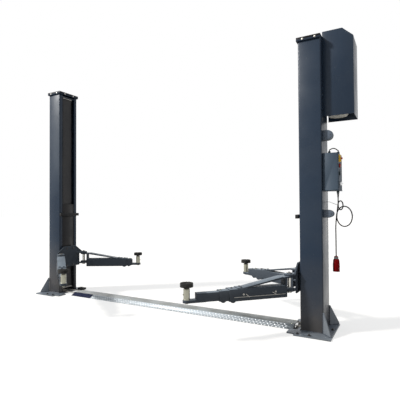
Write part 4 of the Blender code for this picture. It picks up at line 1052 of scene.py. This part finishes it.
def make_box_switches():
    for z, finish, slot in BUTTONS:
        guard = Shape(facing_x((BOX_FACE, SWITCH_Y, z)))
        guard.band(GUARD_PROFILE, (0, 0), 28)
        guard.done("button_guard_%d" % round(z * 1000), finish, slot)
    lock = Shape(facing_x((1.913, SWITCH_Y, 1.328)))
    lock.lathe(LOCK_PROFILE, (0, 0), 28)
    lock.box((-0.0016, -0.01, 0.0062), (0.0016, 0.01, 0.015))
    lock.done("box_lock", BRIGHT_ZINC, "bright_steel")
    screws = Shape()
    for dy in (-0.027, 0.027):
        for dz in (-0.027, 0.027):
            y, z = SWITCH_Y + dy, MAIN_SWITCH_Z + dz
            screws.rod((BOX_FACE + 0.003, y, z), (BOX_FACE + 0.0046, y, z), 0.0032, 12)
    screws.done("switch_screws", BRIGHT_ZINC, "zinc_plate")


def make_glands():
    nuts = Shape()
    for x, y, z, tall in GLANDS:
        nuts.rod((x, y, z), (x, y, z + tall), 0.0135, 6)
        ring = (z + tall, z + tall + GLAND_RING) if z > DOOR_HIGH else (z - GLAND_RING, z)
        nuts.rod((x, y, ring[0]), (x, y, ring[1]), 0.0118, 20)
    nuts.done("gland_nuts", DARK_PLASTIC, "dark_plastic")


def make_cord_relief():
    """The ribbed sleeve that keeps the cord from bending at the gland."""
    ribs, pitch, taper, groove = 9, 0.0042, 0.00035, 0.0012
    profile = [(0.005, 1.2418)]
    for k in range(ribs):
        z = 1.2415 - pitch * k
        wide = 0.0092 - taper * k
        profile += [(wide, z), (wide, z - 0.0022), (wide - groove, z - 0.0024), (wide - groove, z - 0.004)]
    profile += [(0.0056, 1.203), (0.005, 1.202)]
    relief = Shape()
    relief.lathe(profile[::-1], (CORD_X, 0.0), 20)
    relief.done("cord_relief", CORD_BLACK, "cable_black")


def make_hook_eye():
    """One open turn of wire round the cord, where the hook holds it."""
    steps, radius, climb, middle = 20, 0.0068, 0.0012, 1.135
    eye = Shape()
    ring = [around((CORD_X, 0), radius, a, middle + climb * sin(a / 2))
            for a in [pi / 2 + tau * k / steps for k in range(steps)]]
    eye.sweep(ring, 0.0017, 8)
    eye.done("hook_eye", STEEL, "bright_steel")


def make_knob_trim():
    """The knob's grips and its mark turn with it, and the collar round it stays."""
    place = facing_x((1.8986, SWITCH_Y, MAIN_SWITCH_Z))
    grips, radius = 16, 0.0186
    shape = Shape(place)
    for k in range(grips):
        spot = around((0, 0), radius, tau * k / grips)
        shape.rod(spot + rise(0.0008), spot + rise(0.012), 0.0015, 8)
    shape.done("knob_grips", RED, "red_plastic", "main_switch")
    collar = Shape(place)
    profile = [(0.0214, -0.0006), (0.0312, -0.0006), (0.0306, 0.0108), (0.0292, 0.0122), (0.0214, 0.0122)]
    collar.band(profile, (0, 0), 36)
    collar.done("switch_collar", YELLOW, "yellow_plastic")
    mark = Shape(place)
    mark.box((-0.0013, -0.0165, 0.0237), (0.0013, -0.006, 0.0244))
    mark.done("knob_mark", YELLOW, "yellow_plastic", "main_switch")


PLUG_X, PLUG_Y, PLUG_TOP = 1.86, -0.04, 0.6844
PLUG_NECK = PLUG_TOP - 0.026
PLUG_LOW = PLUG_TOP - 0.136


def make_plug_ribs():
    x, y, low = PLUG_X, PLUG_Y, PLUG_LOW
    ribs = 18
    shape = Shape()
    for k in range(ribs):
        a = tau * k / ribs
        out = Vector((cos(a), sin(a), 0))
        spot = Vector((x, y, 0))
        foot = spot + out * 0.0283 + rise(low + 0.054)
        top = spot + out * 0.0246 + rise(PLUG_NECK - 0.01)
        shape.rod(foot, top, 0.0017, 8)
    shape.band([(0.0284, low + 0.04), (0.0302, low + 0.041), (0.0302, low + 0.047), (0.0284, low + 0.048)],
               (x, y))
    shape.band([(0.0284, low), (0.03, low + 0.0005), (0.03, low + 0.005), (0.0284, low + 0.006)],
               (x, y))
    shape.box((x - 0.004, y - 0.0318, low + 0.006), (x + 0.004, y - 0.0275, low + 0.052))
    return shape.done("plug_ribs", PLUG_RED, "red_plastic")


def make_plug_collar():
    rings, pitch = 5, 0.0038
    profile = [(0.0165, PLUG_NECK + 0.0006)]
    for k in range(rings):
        z = PLUG_NECK + 0.001 + pitch * k
        profile += [(0.0184, z), (0.0184, z + 0.0022), (0.0174, z + 0.0026), (0.0174, z + 0.0036)]
    profile += [(0.0165, PLUG_NECK + 0.0205)]
    collar = Shape()
    collar.band(profile, (PLUG_X, PLUG_Y), 28)
    return collar.done("plug_collar", GREY_PLASTIC, "dark_plastic")


def make_plug_pins():
    pins, circle = 5, 0.0155
    metal = Shape()
    for k in range(pins):
        spot = around((PLUG_X, PLUG_Y), circle, radians(90 + 360 // pins * k))
        metal.rod(spot + rise(PLUG_LOW + 0.006), spot + rise(PLUG_LOW + 0.0455), 0.003, 12)
    return metal.done("plug_pins", STEEL, "bright_steel")


MOTOR_X, MOTOR_Y, MOTOR_LOW = 1.875, 0.06, 1.95
MOTOR_FINS, FIN_AT, FIN = 36, 0.087, (0.01, 0.0024, 0.22)
FIN_MIDDLE = MOTOR_LOW + 0.195
# No fins where the motor lies against the post
FIN_LEAST_X = 1.7725
GRILLE_RINGS = (0.072, 0.06, 0.048, 0.036, 0.024, 0.012)


def make_motor_trim():
    x, y, low = MOTOR_X, MOTOR_Y, MOTOR_LOW
    shape, grille = Shape(), Shape()
    for k in range(MOTOR_FINS):
        a = tau * k / MOTOR_FINS
        spot = Vector((x, y, 0)) + Vector((cos(a), sin(a), 0)) * FIN_AT
        if spot.x < FIN_LEAST_X:
            continue
        shape.block(moved((spot.x, spot.y, FIN_MIDDLE)) @ turned(a), FIN)
    shape.done("motor_fins", MOTOR, "motor_grey")
    for radius in GRILLE_RINGS:
        inside, outside = radius - 0.0022, radius + 0.0022
        grille.band([(inside, low - 0.0012), (outside, low - 0.0012), (outside, low + 0.0004),
                     (inside, low + 0.0004)], (x, y), 36)
    for k in range(6):
        start, end = (around((x, y), reach, tau * k / 6, low - 0.0004) for reach in (0.01, 0.074))
        grille.rod(start, end, 0.0012, 6)
    grille.done("motor_grille", MOTOR, "motor_grey")


# Height and half height of each limit switch, and its screws: X, and the share of that half
LIMIT_SWITCHES = ((1.76, 0.044), (1.06, 0.034))
LIMIT_SCREWS = ((1.782, 0.62), (1.782, -0.62), (1.832, 0.0))
LIMIT_FACE, LIMIT_SEAM_Y, SEAM_PLAY = -0.1001, -0.072, 0.0004
LIMIT_ROOT, LIMIT_BEND, LIMIT_NOSE = 1.7665, 1.8055, 0.0464


def make_limit_trim():
    steps = 12
    screws, seams = Shape(), Shape()
    for level, half in LIMIT_SWITCHES:
        for x, share in LIMIT_SCREWS:
            z = level + half * share
            screws.rod((x, LIMIT_FACE, z), (x, LIMIT_FACE - 0.0018, z), 0.0042, 14, 0.0036)
        outline = [(LIMIT_ROOT, level - half - SEAM_PLAY), (LIMIT_BEND, level - half - SEAM_PLAY)]
        for k in range(steps + 1):
            turn = pi * (k / steps - 0.5)
            outline.append((LIMIT_BEND + LIMIT_NOSE * cos(turn), level + (half + SEAM_PLAY) * sin(turn)))
        outline.append((LIMIT_ROOT, level + half + SEAM_PLAY))
        seams.sweep([(x, LIMIT_SEAM_Y, z) for x, z in outline], 0.0014, 6)
    screws.done("limit_screws", BLACK_BOLT, "zinc_plate")
    seams.done("limit_seams", DARK_PLASTIC, "dark_plastic")


make_feet()
make_lid_bolts()
make_cover_tread()
make_cover_end_plate()
make_cover_screws()
make_cover_end_frame()
make_ear_block()
make_chain()
for word, side in SIDES.items():
    make_curtain(word, side)
    make_carriage_trim(word, side)
for label, values in ARMS.items():
    make_arm(label, *values)
make_front_right_rod()
make_box_seam()
make_box_switches()
make_glands()
make_cord_relief()
make_hook_eye()
make_knob_trim()
PLUG_PIECES = [make_plug_ribs(), make_plug_collar(), make_plug_pins()]
make_motor_trim()
make_limit_trim()

make_world()
make_floor()
make_lights()
